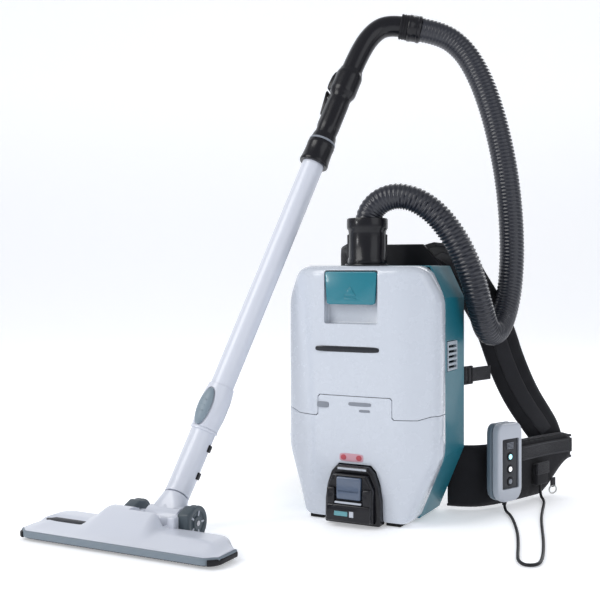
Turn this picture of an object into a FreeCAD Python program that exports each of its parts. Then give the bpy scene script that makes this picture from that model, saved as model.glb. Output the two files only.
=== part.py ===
import FreeCAD, Part
import math
import os

import Sketcher
from FreeCAD import Placement, Rotation, Vector

# Backpack vacuum cleaner, millimetres, +Z up.
# Origin: centre of the body's base, on the floor. The outer face of the body looks
# along -Y, the wearer's back is on the +Y side, +X is to the viewer's right.

os.makedirs("parts", exist_ok=True)
doc = FreeCAD.newDocument("BackpackVacuum")
sheet = doc.addObject("Spreadsheet::Sheet", "Dims")

DIMENSIONS = [
    # body casing
    ("body_half", 129.0), ("body_top", 400.0), ("lid_top", 392.0), ("body_base", 6.0),
    ("base_half", 87.0), ("taper_top", 107.0), ("shoulder_low", 350.0), ("shoulder_half", 105.0),
    ("face_y", -68.0), ("side_y", -42.0), ("flat_half", 76.0), ("parting_y", -13.0), ("back_y", 80.0),
    ("wall", 3.0), ("seam_gap", 0.4),
    # lid, its seam, hinge and latch
    ("seam_z", 164.0), ("tab_half", 62.0), ("tab_top", 197.0), ("hinge_y", -62.0), ("hinge_z", 170.0),
    ("latch_x", -6.0), ("latch_wide", 88.0), ("latch_low", 339.0), ("latch_pin_z", 384.0),
    ("latch_pin_y", -61.0), ("latch_deep", 12.0), ("recess_low", 309.0), ("pin_radius", 2.0),
    # hose port on the top
    ("port_x", -5.0), ("port_y", -5.0), ("port_radius", 32.0), ("port_bore", 26.0), ("port_top", 403.0),
    ("cuff_radius", 31.0), ("cuff_rim", 33.0), ("cuff_top", 476.0), ("spigot_radius", 22.0),
    # battery and its bay
    ("bay_x", 2.0), ("battery_wide", 76.0), ("battery_low", 8.0), ("battery_high", 80.0),
    ("battery_front", -96.0), ("battery_back", 20.0), ("bay_wall", 3.0), ("bay_lip", -80.0),
    ("bay_gap", 0.6),
    # motor, fan, filter and bag
    ("motor_y", 27.0), ("motor_outer", 48.5), ("motor_core", 36.0), ("shaft_radius", 4.0),
    ("fan_radius", 42.0), ("shelf_z", 162.0), ("shelf_thick", 3.0), ("filter_radius", 52.0),
    ("filter_thick", 14.0),
    # harness
    ("frame_half", 95.0), ("frame_top", 436.0), ("frame_thick", 9.0), ("pad_thick", 16.0),
    ("belt_low", 3.0), ("belt_high", 105.0), ("belt_thick", 17.0), ("strap_wide", 64.0),
    ("strap_thick", 12.0), ("web_thick", 3.0), ("brace_low", 203.0), ("brace_high", 227.0),
    # hose, wand and handle
    ("hose_radius", 21.0), ("hose_start", 452.0), ("wand_radius", 18.5), ("wand_bore", 16.0), ("grip_radius", 18.0),
    ("grip_bore", 14.5), ("coupler_radius", 22.5), ("socket_radius", 22.5),
    # floor nozzle
    ("nozzle_left", -400.0), ("nozzle_right", -64.0), ("nozzle_front", -374.0), ("nozzle_rear", -284.0),
    ("nozzle_deck", 22.0), ("nozzle_ridge", 33.0), ("sole_low", 3.0), ("sole_high", 8.0),
    ("neck_x", -219.0), ("axle_y", -258.0), ("wheel_radius", 25.0), ("wheel_wide", 14.0),
    ("axle_radius", 4.0), ("run_gap", 0.3), ("bend_y", -216.0), ("bend_z", 70.0),
    # hand control and its cable
    ("remote_wide", 58.0), ("remote_deep", 28.0), ("remote_low", 20.0), ("remote_high", 146.0),
    ("cable_radius", 2.4),
]
for row, (alias, value) in enumerate(DIMENSIONS, 1):
    sheet.set(f"A{row}", alias)
    sheet.set(f"B{row}", str(value))
    sheet.setAlias(f"B{row}", alias)
doc.recompute()


class Size(float):
    """A number that keeps the sheet expression it comes from."""

    def __new__(cls, value, text=None):
        number = super().__new__(cls, value)
        number.text = text or f"({float(value)})"
        return number

    def __add__(self, other):
        return Size(float(self) + float(other), f"({self.text} + {expression(other)})")

    def __sub__(self, other):
        return Size(float(self) - float(other), f"({self.text} - {expression(other)})")

    def __rsub__(self, other):
        return Size(float(other) - float(self), f"({expression(other)} - {self.text})")

    def __mul__(self, other):
        return Size(float(self) * float(other), f"({self.text} * {expression(other)})")

    def __neg__(self):
        return Size(-float(self), f"(0 - {self.text})")

    __radd__ = __add__
    __rmul__ = __mul__


def expression(value):
    return value.text if isinstance(value, Size) else f"({float(value)})"


def dim(alias):
    return Size(float(sheet.get(alias)), f"Dims.{alias}")


def bind(target, prop, value):
    """Set a property from a plain number or from a sheet expression."""
    if isinstance(value, Size):
        target.setExpression(prop, value.text)
    else:
        setattr(target, prop, value)


finished = []


def keep(thing, label, placement=None):
    """Name a finished sub-part: the label is also its file name."""
    thing.Label = label
    if placement is not None:
        thing.Placement = placement
    finished.append(thing)
    return thing


def origin_plane(body, role):
    return next(item for item in body.Origin.OriginFeatures if item.Role == role)


def new_name(stem):
    return f"{stem}_{len(doc.Objects)}"


def outline(body, role, points, lift):
    """Closed polygon whose corners are tied to the sheet, on one of the body's origin planes."""
    sketch = body.newObject("Sketcher::SketchObject", new_name("outline"))
    sketch.AttachmentSupport = (origin_plane(body, role), "")
    sketch.MapMode = "FlatFace"
    sketch.AttachmentOffset = Placement(Vector(0, 0, float(lift)), Rotation())
    if isinstance(lift, Size):
        sketch.setExpression("AttachmentOffset.Base.z", lift.text)
    count = len(points)
    corners = [Vector(float(x), float(y), 0) for x, y in points]
    for index, corner in enumerate(corners):
        sketch.addGeometry(Part.LineSegment(corner, corners[(index + 1) % count]), False)
    for index in range(count):
        sketch.addConstraint(Sketcher.Constraint("Coincident", index, 2, (index + 1) % count, 1))
    for index, pair in enumerate(points):
        for kind, value in zip(("DistanceX", "DistanceY"), pair):
            place = sketch.addConstraint(Sketcher.Constraint(kind, -1, 1, index, 1, float(value)))
            if isinstance(value, Size):
                sketch.setExpression(f"Constraints[{place}]", value.text)
    return sketch


def disc(body, role, centre, radius, lift):
    """Circle tied to the sheet, on one of the body's origin planes."""
    sketch = body.newObject("Sketcher::SketchObject", new_name("disc"))
    sketch.AttachmentSupport = (origin_plane(body, role), "")
    sketch.MapMode = "FlatFace"
    sketch.AttachmentOffset = Placement(Vector(0, 0, float(lift)), Rotation())
    middle = Vector(float(centre[0]), float(centre[1]), 0)
    sketch.addGeometry(Part.Circle(middle, Vector(0, 0, 1), float(radius)), False)
    for kind, value in zip(("DistanceX", "DistanceY"), centre):
        place = sketch.addConstraint(Sketcher.Constraint(kind, -1, 1, 0, 3, float(value)))
        if isinstance(value, Size):
            sketch.setExpression(f"Constraints[{place}]", value.text)
    place = sketch.addConstraint(Sketcher.Constraint("Radius", 0, float(radius)))
    if isinstance(radius, Size):
        sketch.setExpression(f"Constraints[{place}]", radius.text)
    return sketch


def padded_body(role, sketch_maker, start, length):
    body = doc.addObject("PartDesign::Body", new_name("body"))
    sketch = sketch_maker(body, role, start)
    pad = body.newObject("PartDesign::Pad", new_name("pad"))
    pad.Profile = sketch
    bind(pad, "Length", length)
    doc.recompute()
    return body


def slab_z(points, low, high):
    """Outline in X, Y raised from z = low to z = high."""
    return padded_body("XY_Plane", lambda b, r, s: outline(b, r, points, s), low, high - low)


def slab_y(points, low, high):
    """Outline in X, Z run from y = low to y = high (the plane's normal is -Y)."""
    return padded_body("XZ_Plane", lambda b, r, s: outline(b, r, points, s), 0 - high, high - low)


def slab_x(points, low, high):
    """Outline in Y, Z run from x = low to x = high."""
    return padded_body("YZ_Plane", lambda b, r, s: outline(b, r, points, s), low, high - low)


def rod_z(centre, radius, low, high):
    return padded_body("XY_Plane", lambda b, r, s: disc(b, r, centre, radius, s), low, high - low)


def rod_x(centre, radius, low, high):
    return padded_body("YZ_Plane", lambda b, r, s: disc(b, r, centre, radius, s), low, high - low)


def turned(profile):
    """Closed (radius, height) outline turned about Z."""
    body = doc.addObject("PartDesign::Body", new_name("body"))
    sketch = outline(body, "XZ_Plane", profile, 0)
    turn = body.newObject("PartDesign::Revolution", new_name("turn"))
    turn.Profile = sketch
    turn.ReferenceAxis = (sketch, ["V_Axis"])
    turn.Angle = 360
    doc.recompute()
    return body


def ring_profile(inner, outer, low, high):
    return [(inner, low), (outer, low), (outer, high), (inner, high)]


def box_points(x0, x1, y0, y1):
    return [(x0, y0), (x1, y0), (x1, y1), (x0, y1)]


def cut(base, *tools):
    for tool in tools:
        result = doc.addObject("Part::Cut", new_name("cut"))
        result.Base = base
        result.Tool = tool
        base = result
    doc.recompute()
    return base


def fuse(*pieces):
    result = doc.addObject("Part::MultiFuse", new_name("fuse"))
    result.Shapes = list(pieces)
    result.Refine = True
    doc.recompute()
    return result


def common(first, second):
    result = doc.addObject("Part::MultiCommon", new_name("common"))
    result.Shapes = [first, second]
    doc.recompute()
    return result


def rounded(base, radius, chosen):
    """Fillet the edges for which chosen(edge) is true."""
    result = doc.addObject("Part::Fillet", new_name("fillet"))
    result.Base = base
    edges = [i + 1 for i, edge in enumerate(base.Shape.Edges) if chosen(edge)]
    result.Edges = [(number, float(radius), float(radius)) for number in edges]
    doc.recompute()
    return result


def shape_part(label, shape, placement=None):
    """A piece whose shape neither a sketch nor a primitive gives: a sweep or a loft."""
    thing = doc.addObject("Part::Feature", new_name("piece"))
    thing.Shape = shape
    return keep(thing, label, placement)


def mirrored_part(label, source):
    """The same piece on the other side of the body's middle plane."""
    thing = doc.addObject("Part::Mirroring", new_name("mirror"))
    thing.Source = source
    thing.Normal = Vector(1, 0, 0)
    return keep(thing, label)


def both_sides(source):
    """The piece and its mirror image as one group."""
    twin = doc.addObject("Part::Mirroring", new_name("mirror"))
    twin.Source = source
    twin.Normal = Vector(1, 0, 0)
    return fuse(source, twin)


def frame_along(origin, direction, sideways):
    """Placement whose +Z runs along direction and whose +X is close to sideways."""
    return Placement(origin, Rotation(sideways, Vector(), direction, "ZXY"))


def arc_route(points, label=None):
    """Straight runs joined by tangent arcs, each as large as its two runs allow."""
    fraction = 0.45
    edges = []
    radii = []
    start = points[0]
    for before, corner, after in zip(points, points[1:], points[2:]):
        inward = (before - corner).normalize()
        outward = (after - corner).normalize()
        turn = math.pi - inward.getAngle(outward)
        run = min(before.distanceToPoint(corner), corner.distanceToPoint(after))
        trim = fraction * run
        radius = trim / math.tan(turn / 2)
        radii.append(radius)
        enter = corner + inward * trim
        leave = corner + outward * trim
        bisector = (inward + outward).normalize()
        centre = corner + bisector * math.hypot(radius, trim)
        middle = centre - bisector * radius
        edges.append(Part.LineSegment(start, enter).toShape())
        edges.append(Part.Arc(enter, middle, leave).toShape())
        start = leave
    edges.append(Part.LineSegment(start, points[-1]).toShape())
    if label:
        print(label, "arc radii", " ".join(f"{radius:.0f}" for radius in radii))
    return Part.Wire(edges)


def tube_along(points, radius, bore=0, label=None):
    """Round tube swept along the route."""
    wire = arc_route(points, label)
    direction = points[1] - points[0]

    def swept(size):
        circle = Part.Wire(Part.Circle(points[0], direction, size).toShape())
        return wire.makePipeShell([circle], True, False)

    solid = swept(radius)
    expected = math.pi * radius ** 2 * wire.Length
    if label:
        print(label, f"length {wire.Length:.1f}, volume ratio {solid.Volume / expected:.4f}")
    if bore:
        solid = solid.cut(swept(bore))
    return solid


# Body casing: one front outline shared by housing, cover and lid.
half = dim("body_half")
wall = dim("wall")
gap = dim("seam_gap")
face_y = dim("face_y")
parting_y = dim("parting_y")
back_y = dim("back_y")
seam_z = dim("seam_z")
tab_half = dim("tab_half")
tab_top = dim("tab_top")
base_half = dim("base_half")
taper_top = dim("taper_top")
shoulder_low = dim("shoulder_low")
shoulder_half = dim("shoulder_half")
port = (dim("port_x"), dim("port_y"))


def body_outline(top, inset, base):
    """Front view of the casing, drawn in by inset on every side."""
    return [
        (-(base_half - inset), base), (base_half - inset, base), (half - inset, taper_top),
        (half - inset, shoulder_low), (shoulder_half - inset, top - inset),
        (-(shoulder_half - inset), top - inset), (-(half - inset), shoulder_low), (-(half - inset), taper_top),
    ]


def plan_outline(inset):
    """Plan of the front casing: flat face with a bevel down each side, open at the back."""
    side_y = dim("side_y")
    flat_half = dim("flat_half")
    return [
        (-(half - inset), parting_y - gap), (-(half - inset), side_y), (-(flat_half - inset), face_y + inset),
        (flat_half - inset, face_y + inset), (half - inset, side_y), (half - inset, parting_y - gap),
    ]


def front_shell(top, base, z_low, z_high, inset):
    prism = slab_z(plan_outline(inset), z_low, z_high)
    front = slab_y(body_outline(top, inset, base), face_y - 1, parting_y - gap)
    return common(front, prism)


def main_housing():
    body_top = dim("body_top")
    body_base = dim("body_base")
    outer = slab_y(body_outline(body_top, Size(0), body_base), parting_y, back_y)
    inner = slab_y(body_outline(body_top, wall, body_base + wall), parting_y - 1, back_y - wall)
    hole = rod_z(port, dim("port_radius") + 0.3, body_top - wall - 5, body_top + 5)
    vent = slab_x(box_points(-5, 41, 236, 282), -(half + 5), half + 5)
    bay_x = dim("bay_x")
    tunnel = slab_z(box_points(bay_x - 46, bay_x + 46, parting_y - 5, dim("battery_back") + 6), 0, 20)
    shell = cut(outer, inner, hole, vent, tunnel)
    keep(shell, "main_housing")


def lower_front_cover():
    body_base = dim("body_base")
    bay_x = dim("bay_x")
    outer = front_shell(dim("lid_top"), body_base, body_base, tab_top, Size(0))
    inner = front_shell(dim("lid_top"), body_base + wall, body_base + wall, seam_z - wall - 2, wall)
    sides = [slab_z(box_points(sign * 96 - 34.0, sign * 96 + 34.0, -90, 0), seam_z - 0.5, tab_top + 5)
             for sign in (-1, 1)]
    behind_tab = slab_z(box_points(-(half + 5), half + 5, face_y + 12, 0), seam_z - 0.5, tab_top + 5)
    mouth_points = [(bay_x - 47, 0), (bay_x + 47, 0), (bay_x + 44, 60), (bay_x + 33, 92), (bay_x - 33, 92),
                    (bay_x - 44, 60)]
    mouth = slab_y(mouth_points, face_y - 5, parting_y + 5)
    keep(cut(outer, inner, *sides, behind_tab, mouth), "lower_front_cover")


def front_lid():
    lid_top = dim("lid_top")
    latch_x = dim("latch_x")
    latch_half = dim("latch_wide") * 0.5 + 1
    hinge_y = dim("hinge_y")
    hinge_z = dim("hinge_z")
    latch_deep = dim("latch_deep")
    outer = front_shell(lid_top, dim("body_base"), seam_z, lid_top, Size(0))
    inner = front_shell(lid_top, dim("body_base"), seam_z - wall, lid_top - wall, wall)
    notch_x = tab_half + 0.6
    notch = slab_z(box_points(-notch_x, notch_x, face_y - 5, parting_y + 5), seam_z - 5, tab_top + 0.8)
    port_cut = fuse(
        rod_z(port, dim("port_radius") + 4, lid_top - 10, lid_top + 5),
        slab_z(box_points(port[0] - 36, port[0] + 36, port[1], parting_y + 5), lid_top - 10, lid_top + 5),
    )
    latch_seat = slab_z(
        box_points(latch_x - latch_half, latch_x + latch_half, face_y - 5, face_y + latch_deep + 3),
        dim("recess_low"), lid_top + 5)
    seat_wall = cut(
        slab_z(box_points(latch_x - latch_half - wall, latch_x + latch_half + wall, face_y + 1,
                          face_y + latch_deep + 6), dim("recess_low") - wall, lid_top - 0.1),
        latch_seat)
    shell = cut(cut(outer, inner), latch_seat)
    shell = cut(fuse(shell, seat_wall), notch, port_cut)
    # the lower front edge is turned to the hinge axis so that it swings clear of the lower cover
    corner = slab_x(box_points(face_y - 1, hinge_y, seam_z - 1, hinge_z), -(half + 5), half + 5)
    barrel = rod_x((hinge_y, hinge_z), hinge_z - seam_z, -(half + 6), half + 6)
    return keep(cut(shell, cut(corner, barrel)), "front_lid")


def lid_gasket():
    lid_top = dim("lid_top")
    front = parting_y - gap - 6
    outer = slab_y(body_outline(lid_top, wall + 0.2, dim("body_base")), front, front + 4)
    inner = slab_y(body_outline(lid_top, wall + 5, dim("body_base")), front - 1, front + 5)
    low = slab_z(box_points(-140, 140, -60, 20), 0, seam_z + 40)
    port_gap = slab_z(box_points(port[0] - 42, port[0] + 42, -60, 20), 380, 400)
    keep(cut(outer, inner, low, port_gap), "lid_gasket")


def lid_latch():
    """Pull latch: plate with a finger edge below and the pin boss above."""
    latch_x = dim("latch_x")
    latch_half = dim("latch_wide") * 0.5
    low = dim("latch_low")
    pin = (dim("latch_pin_y"), dim("latch_pin_z"))
    profile = [
        (face_y - 1.5, low), (face_y + 3, low), (face_y + 3, pin[1] - 8), (face_y + 11, pin[1] - 5),
        (face_y + 11, pin[1] + 7), (face_y + 2, pin[1] + 7), (face_y - 1.5, pin[1] + 3.5),
    ]
    plate = slab_x(profile, latch_x - latch_half, latch_x + latch_half)
    bore = rod_x(pin, dim("pin_radius") + 0.1, latch_x - latch_half - 1, latch_x + latch_half + 1)
    keep(cut(plate, bore), "lid_latch")
    pin_half = dim("latch_wide") * 0.5 + 1
    keep(rod_x(pin, dim("pin_radius"), latch_x - pin_half, latch_x + pin_half), "latch_pin")


def vent_grilles():
    """Slatted exhaust grille set in each side of the housing."""
    plate = slab_x(box_points(-4.7, 40.7, 236.3, 281.7), half - 4, half + 1.5)
    slots = [slab_x(box_points(-1, 37, 240 + 8 * row, 244 + 8 * row), half - 10, half + 5) for row in range(5)]
    grille = cut(plate, *slots)
    keep(both_sides(grille), "vent_grilles")


def base_feet():
    """Rubber strips under the two lower corners and a pad under the battery tunnel."""
    pieces = [slab_z(box_points(x - 12, x + 12, -55, 68), 0, dim("body_base")) for x in (-70, 60)]
    pieces.append(slab_z(box_points(-26, 14, -20, 22), 0, 4.3))
    keep(fuse(*pieces), "base_feet")


def battery_bay():
    """Black bezel on the front and the tunnel behind it, open at the front."""
    bay_x = dim("bay_x")
    reach = dim("battery_wide") * 0.5 + dim("bay_gap")
    low = dim("battery_low") - dim("bay_gap")
    high = dim("battery_high") + dim("bay_gap")
    thick = dim("bay_wall")
    back = dim("battery_back") + 1
    bezel_points = [(bay_x - 46.5, 2), (bay_x + 46.5, 2), (bay_x + 43.5, 60), (bay_x + 32.5, 91.5),
                    (bay_x - 32.5, 91.5), (bay_x - 43.5, 60)]
    bezel = slab_y(bezel_points, dim("bay_lip"), face_y + 6)
    tunnel_points = [(bay_x - reach - thick, low - thick), (bay_x + reach + thick, low - thick),
                     (bay_x + reach + thick, 60), (bay_x + 30, high + thick), (bay_x - 30, high + thick),
                     (bay_x - reach - thick, 60)]
    tunnel = slab_y(tunnel_points, face_y + 6, back + thick)
    hollow = slab_y(battery_outline(dim("bay_gap")), dim("bay_lip") - 5, back)
    keep(cut(fuse(bezel, tunnel), hollow), "battery_bay")


def battery_outline(spread):
    bay_x = dim("bay_x")
    reach = dim("battery_wide") * 0.5 + spread
    low = dim("battery_low") - spread
    high = dim("battery_high") + spread
    return [(bay_x - reach, low), (bay_x + reach, low), (bay_x + reach, 58), (bay_x + 28, high),
            (bay_x - 28, high), (bay_x - reach, 58)]


def battery():
    bay_x = dim("bay_x")
    front = dim("battery_front")
    case = slab_y(battery_outline(Size(0)), front, dim("battery_back"))
    button_seat = slab_y(box_points(bay_x - 21, bay_x + 21, 46, 72), front - 5, front + 9)
    slots = [slab_y(box_points(bay_x + x - 2, bay_x + x + 2, 62, 74), dim("battery_back") - 15,
                    dim("battery_back") + 1) for x in (-12, 0, 12)]
    keep(cut(case, button_seat, *slots), "battery_pack")
    keep(slab_y(box_points(bay_x - 20.6, bay_x + 20.6, 46.4, 71.6), front - 1.5, front + 5), "battery_button")


def inlet():
    """Port through the housing's top, bag collar below it, and the cuff that swivels in it."""
    lift = Placement(Vector(float(port[0]), float(port[1]), 0), Rotation())
    radius = dim("port_radius")
    bore = dim("port_bore")
    top = dim("port_top")
    spigot = dim("spigot_radius")
    keep(turned([
        (spigot - 3, 360), (spigot, 360), (spigot, 382), (radius, 382), (radius, 400), (radius + 2, 400),
        (radius + 2, top), (bore, top), (bore, 386), (spigot - 3, 386),
    ]), "inlet_port", lift)
    rim = dim("cuff_rim")
    cuff = dim("cuff_radius")
    cuff_top = dim("cuff_top")
    base = top + dim("run_gap")
    hose_seat = dim("hose_start") - dim("run_gap")
    keep(turned([
        (spigot - 3, 388), (bore - 0.3, 388), (bore - 0.3, base), (cuff, base), (cuff, cuff_top - 9),
        (rim, cuff_top - 8), (rim, cuff_top), (spigot + 2.5, cuff_top), (spigot + 1, hose_seat),
        (spigot - 3, hose_seat),
    ]), "inlet_cuff", lift)
    plate = slab_z(box_points(port[0] - 44, port[0] + 44, port[1] - 36, port[1] + 36), 364, 367)
    keep(cut(plate, rod_z(port, spigot + 0.5, 360, 370)), "bag_collar")


def bag_and_filter():
    bag = slab_z(box_points(-96, 96, -50, 66), 184, 358)
    keep(rounded(bag, 18, lambda edge: edge.Length > 50), "dust_bag")
    shelf_z = dim("shelf_z")
    top = shelf_z + dim("shelf_thick")
    centre = (Size(0), dim("motor_y"))
    shelf = slab_z(box_points(-(half - wall - 0.3), half - wall - 0.3, -10, back_y - wall - 0.3), shelf_z, top)
    keep(cut(shelf, rod_z(centre, 40, shelf_z - 1, top + 1)), "partition_shelf")
    keep(rod_z(centre, 49, top, top + dim("filter_thick")), "motor_filter")


def motor():
    """Motor can on its foot ring, with the shaft and fan turning inside."""
    lift = Placement(Vector(0, float(dim("motor_y")), 0), Rotation())
    outer = dim("motor_outer")
    shaft = dim("shaft_radius")
    core = dim("motor_core")
    keep(turned([(shaft + 0.1, 90), (Size(30), 90), (Size(30), 83.8), (Size(44), 83.8), (Size(44), 90),
                 (outer, 90), (outer, 157), (outer - 3, 157), (outer - 3, 100), (shaft + 0.1, 100)]),
         "motor_can", lift)
    keep(turned(ring_profile(shaft + 0.1, core, 100, 138)), "motor_core", lift)
    keep(turned(ring_profile(Size(0), shaft, 91, 155)), "motor_shaft", lift)
    hub = turned([(shaft, 140), (Size(14), 140), (dim("fan_radius"), 142), (dim("fan_radius"), 144),
                  (Size(16), 144), (Size(12), 154), (shaft, 154)])
    blades = []
    for index in range(9):
        blade = slab_z(box_points(13, 41, -1, 1), 143.5, 151)
        blade.Placement = Placement(Vector(0, 0, 0), Rotation(Vector(0, 0, 1), 40 * index))
        blades.append(blade)
    keep(fuse(hub, *blades), "fan_impeller", lift)
    board = slab_x(box_points(-5, 70, 95, 150), -104, -102)
    chips = [slab_x(box_points(5 + 20 * n, 17 + 20 * n, 105, 120), -102.2, -96) for n in range(3)]
    keep(fuse(board, *chips), "control_board")


# Harness: back frame, pads, straps and belt.
def back_harness():
    frame_half = dim("frame_half")
    frame_top = dim("frame_top")
    front = back_y + 0.3
    rear = front + dim("frame_thick")
    points = [(-70, 20), (70, 20), (frame_half, 50), (frame_half, 395), (58, frame_top), (-58, frame_top),
              (-frame_half, 395), (-frame_half, 50)]
    plate = slab_y(points, front, rear)
    window = slab_y([(-42, 150), (42, 150), (48, 300), (-48, 300)], front - 2, rear + 2)
    keep(cut(plate, window), "back_frame")
    pad_back = rear + dim("pad_thick")
    upper = slab_y([(-60, 235), (60, 235), (78, 300), (70, 405), (-70, 405), (-78, 300)], rear + 0.3, pad_back)
    keep(rounded(upper, 6, lambda edge: edge.Length > 30), "back_pad")
    lumbar = slab_y([(-92, 8), (92, 8), (92, 100), (60, 128), (-60, 128), (-92, 100)], rear + 0.3, pad_back)
    keep(rounded(lumbar, 6, lambda edge: edge.Length > 30), "lumbar_pad")


def beside(line, distance):
    """The plan line moved sideways by distance, to its right."""
    moved = []
    for index, point in enumerate(line):
        before = line[max(index - 1, 0)]
        after = line[min(index + 1, len(line) - 1)]
        length = math.hypot(after[0] - before[0], after[1] - before[1])
        moved.append((point[0] + distance * (after[1] - before[1]) / length,
                      point[1] - distance * (after[0] - before[0]) / length))
    return moved


def waist_belt():
    """Padded wing that curves back from the lumbar pad, with its webbing and cable pocket."""
    outer_line = [(94, 90), (122, 92), (160, 117), (193, 189), (222, 273), (252, 330)]
    inner_line = [(238, 341), (205, 280), (176, 197), (148, 132), (124, 108), (94, 106)]
    wing = slab_z(outer_line + inner_line, dim("belt_low"), dim("belt_high"))
    corner = slab_x([(270, -5), (350, -5), (350, 62)], 150, 300)
    wing = cut(wing, corner)
    keep(wing, "waist_belt_right")
    mirrored_part("waist_belt_left", wing)
    rear_line = outer_line[3:]
    band = slab_z(beside(rear_line, 2.6) + beside(rear_line, 0.6)[::-1], 70, 95)
    keep(both_sides(band), "belt_webbing")
    pocket_line = [(203.2, 218.5), (214.9, 252.5)]
    pocket = slab_z(beside(pocket_line, 11.5) + beside(pocket_line, 0.6)[::-1], 25, 62)
    keep(both_sides(pocket), "belt_pockets")


def shoulder_straps():
    """Padded strap lofted through stations from the frame's top to the belt."""
    wide = float(dim("strap_wide")) / 2
    thick = float(dim("strap_thick")) / 2
    stations = [
        (Vector(56, 101, 431), 0), (Vector(78, 128, 424), 12), (Vector(95, 151, 405), 22),
        (Vector(111, 178, 364), 26), (Vector(129, 207, 323), 26), (Vector(142, 226, 279), 26),
        (Vector(153, 240, 232), 28), (Vector(173, 261, 173), 32), (Vector(200, 288, 121), 40),
        (Vector(208, 296, 107), 42),
    ]
    wires = []
    for index, (centre, swing) in enumerate(stations):
        before = stations[max(index - 1, 0)][0]
        after = stations[min(index + 1, len(stations) - 1)][0]
        along = (after - before).normalize()
        across = Vector(math.cos(math.radians(swing)), math.sin(math.radians(swing)), 0)
        across = (across - along * across.dot(along)).normalize()
        outward = along.cross(across)
        if index == len(stations) - 1:
            outward = Vector(across.y, -across.x, 0)
        corners = [centre + across * (sx * wide) + outward * (sy * thick)
                   for sx, sy in ((-1, -1), (1, -1), (1, 1), (-1, 1))]
        wires.append(Part.makePolygon(corners + corners[:1]))
    strap = shape_part("shoulder_strap_right", Part.makeLoft(wires, True, True))
    mirrored_part("shoulder_strap_left", strap)
    thick_web = dim("web_thick")
    web = [(96, 96), (96 + thick_web, 95), (130 + thick_web, 219), (130, 220)]
    brace = slab_z(web, dim("brace_low"), dim("brace_high"))
    keep(both_sides(brace), "stabiliser_straps")


# Wand and handle: everything lies along one straight axis from the elbow up.
bend = Vector(float(dim("neck_x")), float(dim("bend_y")), float(dim("bend_z")))
wand_top = Vector(-111.0, 12.3, 568.4)
wand_axis = (wand_top - bend).normalize()
neck_axis = (bend - Vector(bend.x, float(dim("axle_y")), float(dim("wheel_radius")))).normalize()
wand_frame = frame_along(bend, wand_axis, Vector(1, 0, 0))

BUTTON_TURN = -6
SOCKET_LOW = 88
SOCKET_HIGH = 158
COUPLER_LOW = 560
SLEEVE_LOW = 616
COLLAR_LOW = 690
COLLAR_HIGH = 745


def on_wand(distance):
    return bend + wand_axis * distance


def wand():
    pipe = dim("wand_radius")
    bore = dim("wand_bore")
    socket = dim("socket_radius")
    coupler = dim("coupler_radius")
    grip = dim("grip_radius")
    keep(turned(ring_profile(bore, pipe, SOCKET_LOW + 30, COUPLER_LOW + 25)), "wand_pipe", wand_frame)
    # release button: long oval pad in a seat on the socket's front
    facing = Rotation(Vector(0, 0, 1), BUTTON_TURN)
    middle = (SOCKET_LOW + SOCKET_HIGH) / 2 - 4
    shell = turned([(bore, SOCKET_LOW), (socket - 1, SOCKET_LOW), (socket + 0.5, SOCKET_LOW + 20),
                    (socket + 0.5, SOCKET_HIGH - 20), (pipe + 1.5, SOCKET_HIGH), (pipe, SOCKET_HIGH),
                    (pipe, SOCKET_LOW + 30), (bore, SOCKET_LOW + 30)])
    seat = slab_y(box_points(-16, 16, middle - 33, middle + 33), -40, -20.2)
    seat.Placement = Placement(Vector(0, 0, 0), facing)
    keep(cut(shell, seat), "wand_socket", wand_frame)
    keep(turned([(pipe, COUPLER_LOW), (coupler, COUPLER_LOW), (coupler, COUPLER_LOW + 28),
                 (coupler - 3, SLEEVE_LOW), (bore, SLEEVE_LOW), (bore, COUPLER_LOW + 25),
                 (pipe, COUPLER_LOW + 25)]), "wand_coupler", wand_frame)
    keep(turned([(bore, SLEEVE_LOW), (grip, SLEEVE_LOW), (grip, COLLAR_LOW), (grip + 2, COLLAR_LOW),
                 (grip + 6, COLLAR_LOW + 14), (grip + 6, COLLAR_HIGH - 8), (grip + 3, COLLAR_HIGH),
                 (bore, COLLAR_HIGH)]), "handle_sleeve", wand_frame)
    # lock lever on the collar, hinged at its upper end
    lever = slab_y([(-34, 652), (-19, 652), (-19, 684), (-25.5, 690), (-25.5, 700), (-34, 700)], -7, 7)
    pin_hole = doc.addObject("Part::Cylinder", new_name("lever_pin"))
    pin_hole.Radius = 1.5
    pin_hole.Height = 20
    pin_hole.Placement = Placement(Vector(-30, 10, 697), Rotation(Vector(1, 0, 0), 90))
    keep(cut(lever, pin_hole), "coupler_lever", wand_frame)
    oval = doc.addObject("Part::Ellipsoid", new_name("oval"))
    oval.Radius1 = 8
    oval.Radius2 = 32
    oval.Radius3 = 15
    oval.Placement = Placement(Vector(0, 0, 0), Rotation(Vector(0, 1, 0), 90))
    button = cut(oval, slab_y(box_points(-40, 40, -45, 45), 0.01, 30))
    seat_place = facing.multVec(Vector(0, -22.7, middle))
    keep(button, "wand_release_button", wand_frame.multiply(Placement(seat_place, facing)))


GRIP_END = Vector(-8, 146, 817)
GRIP_DIRECTION = Vector(33.5, 13, -7).normalize()


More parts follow.
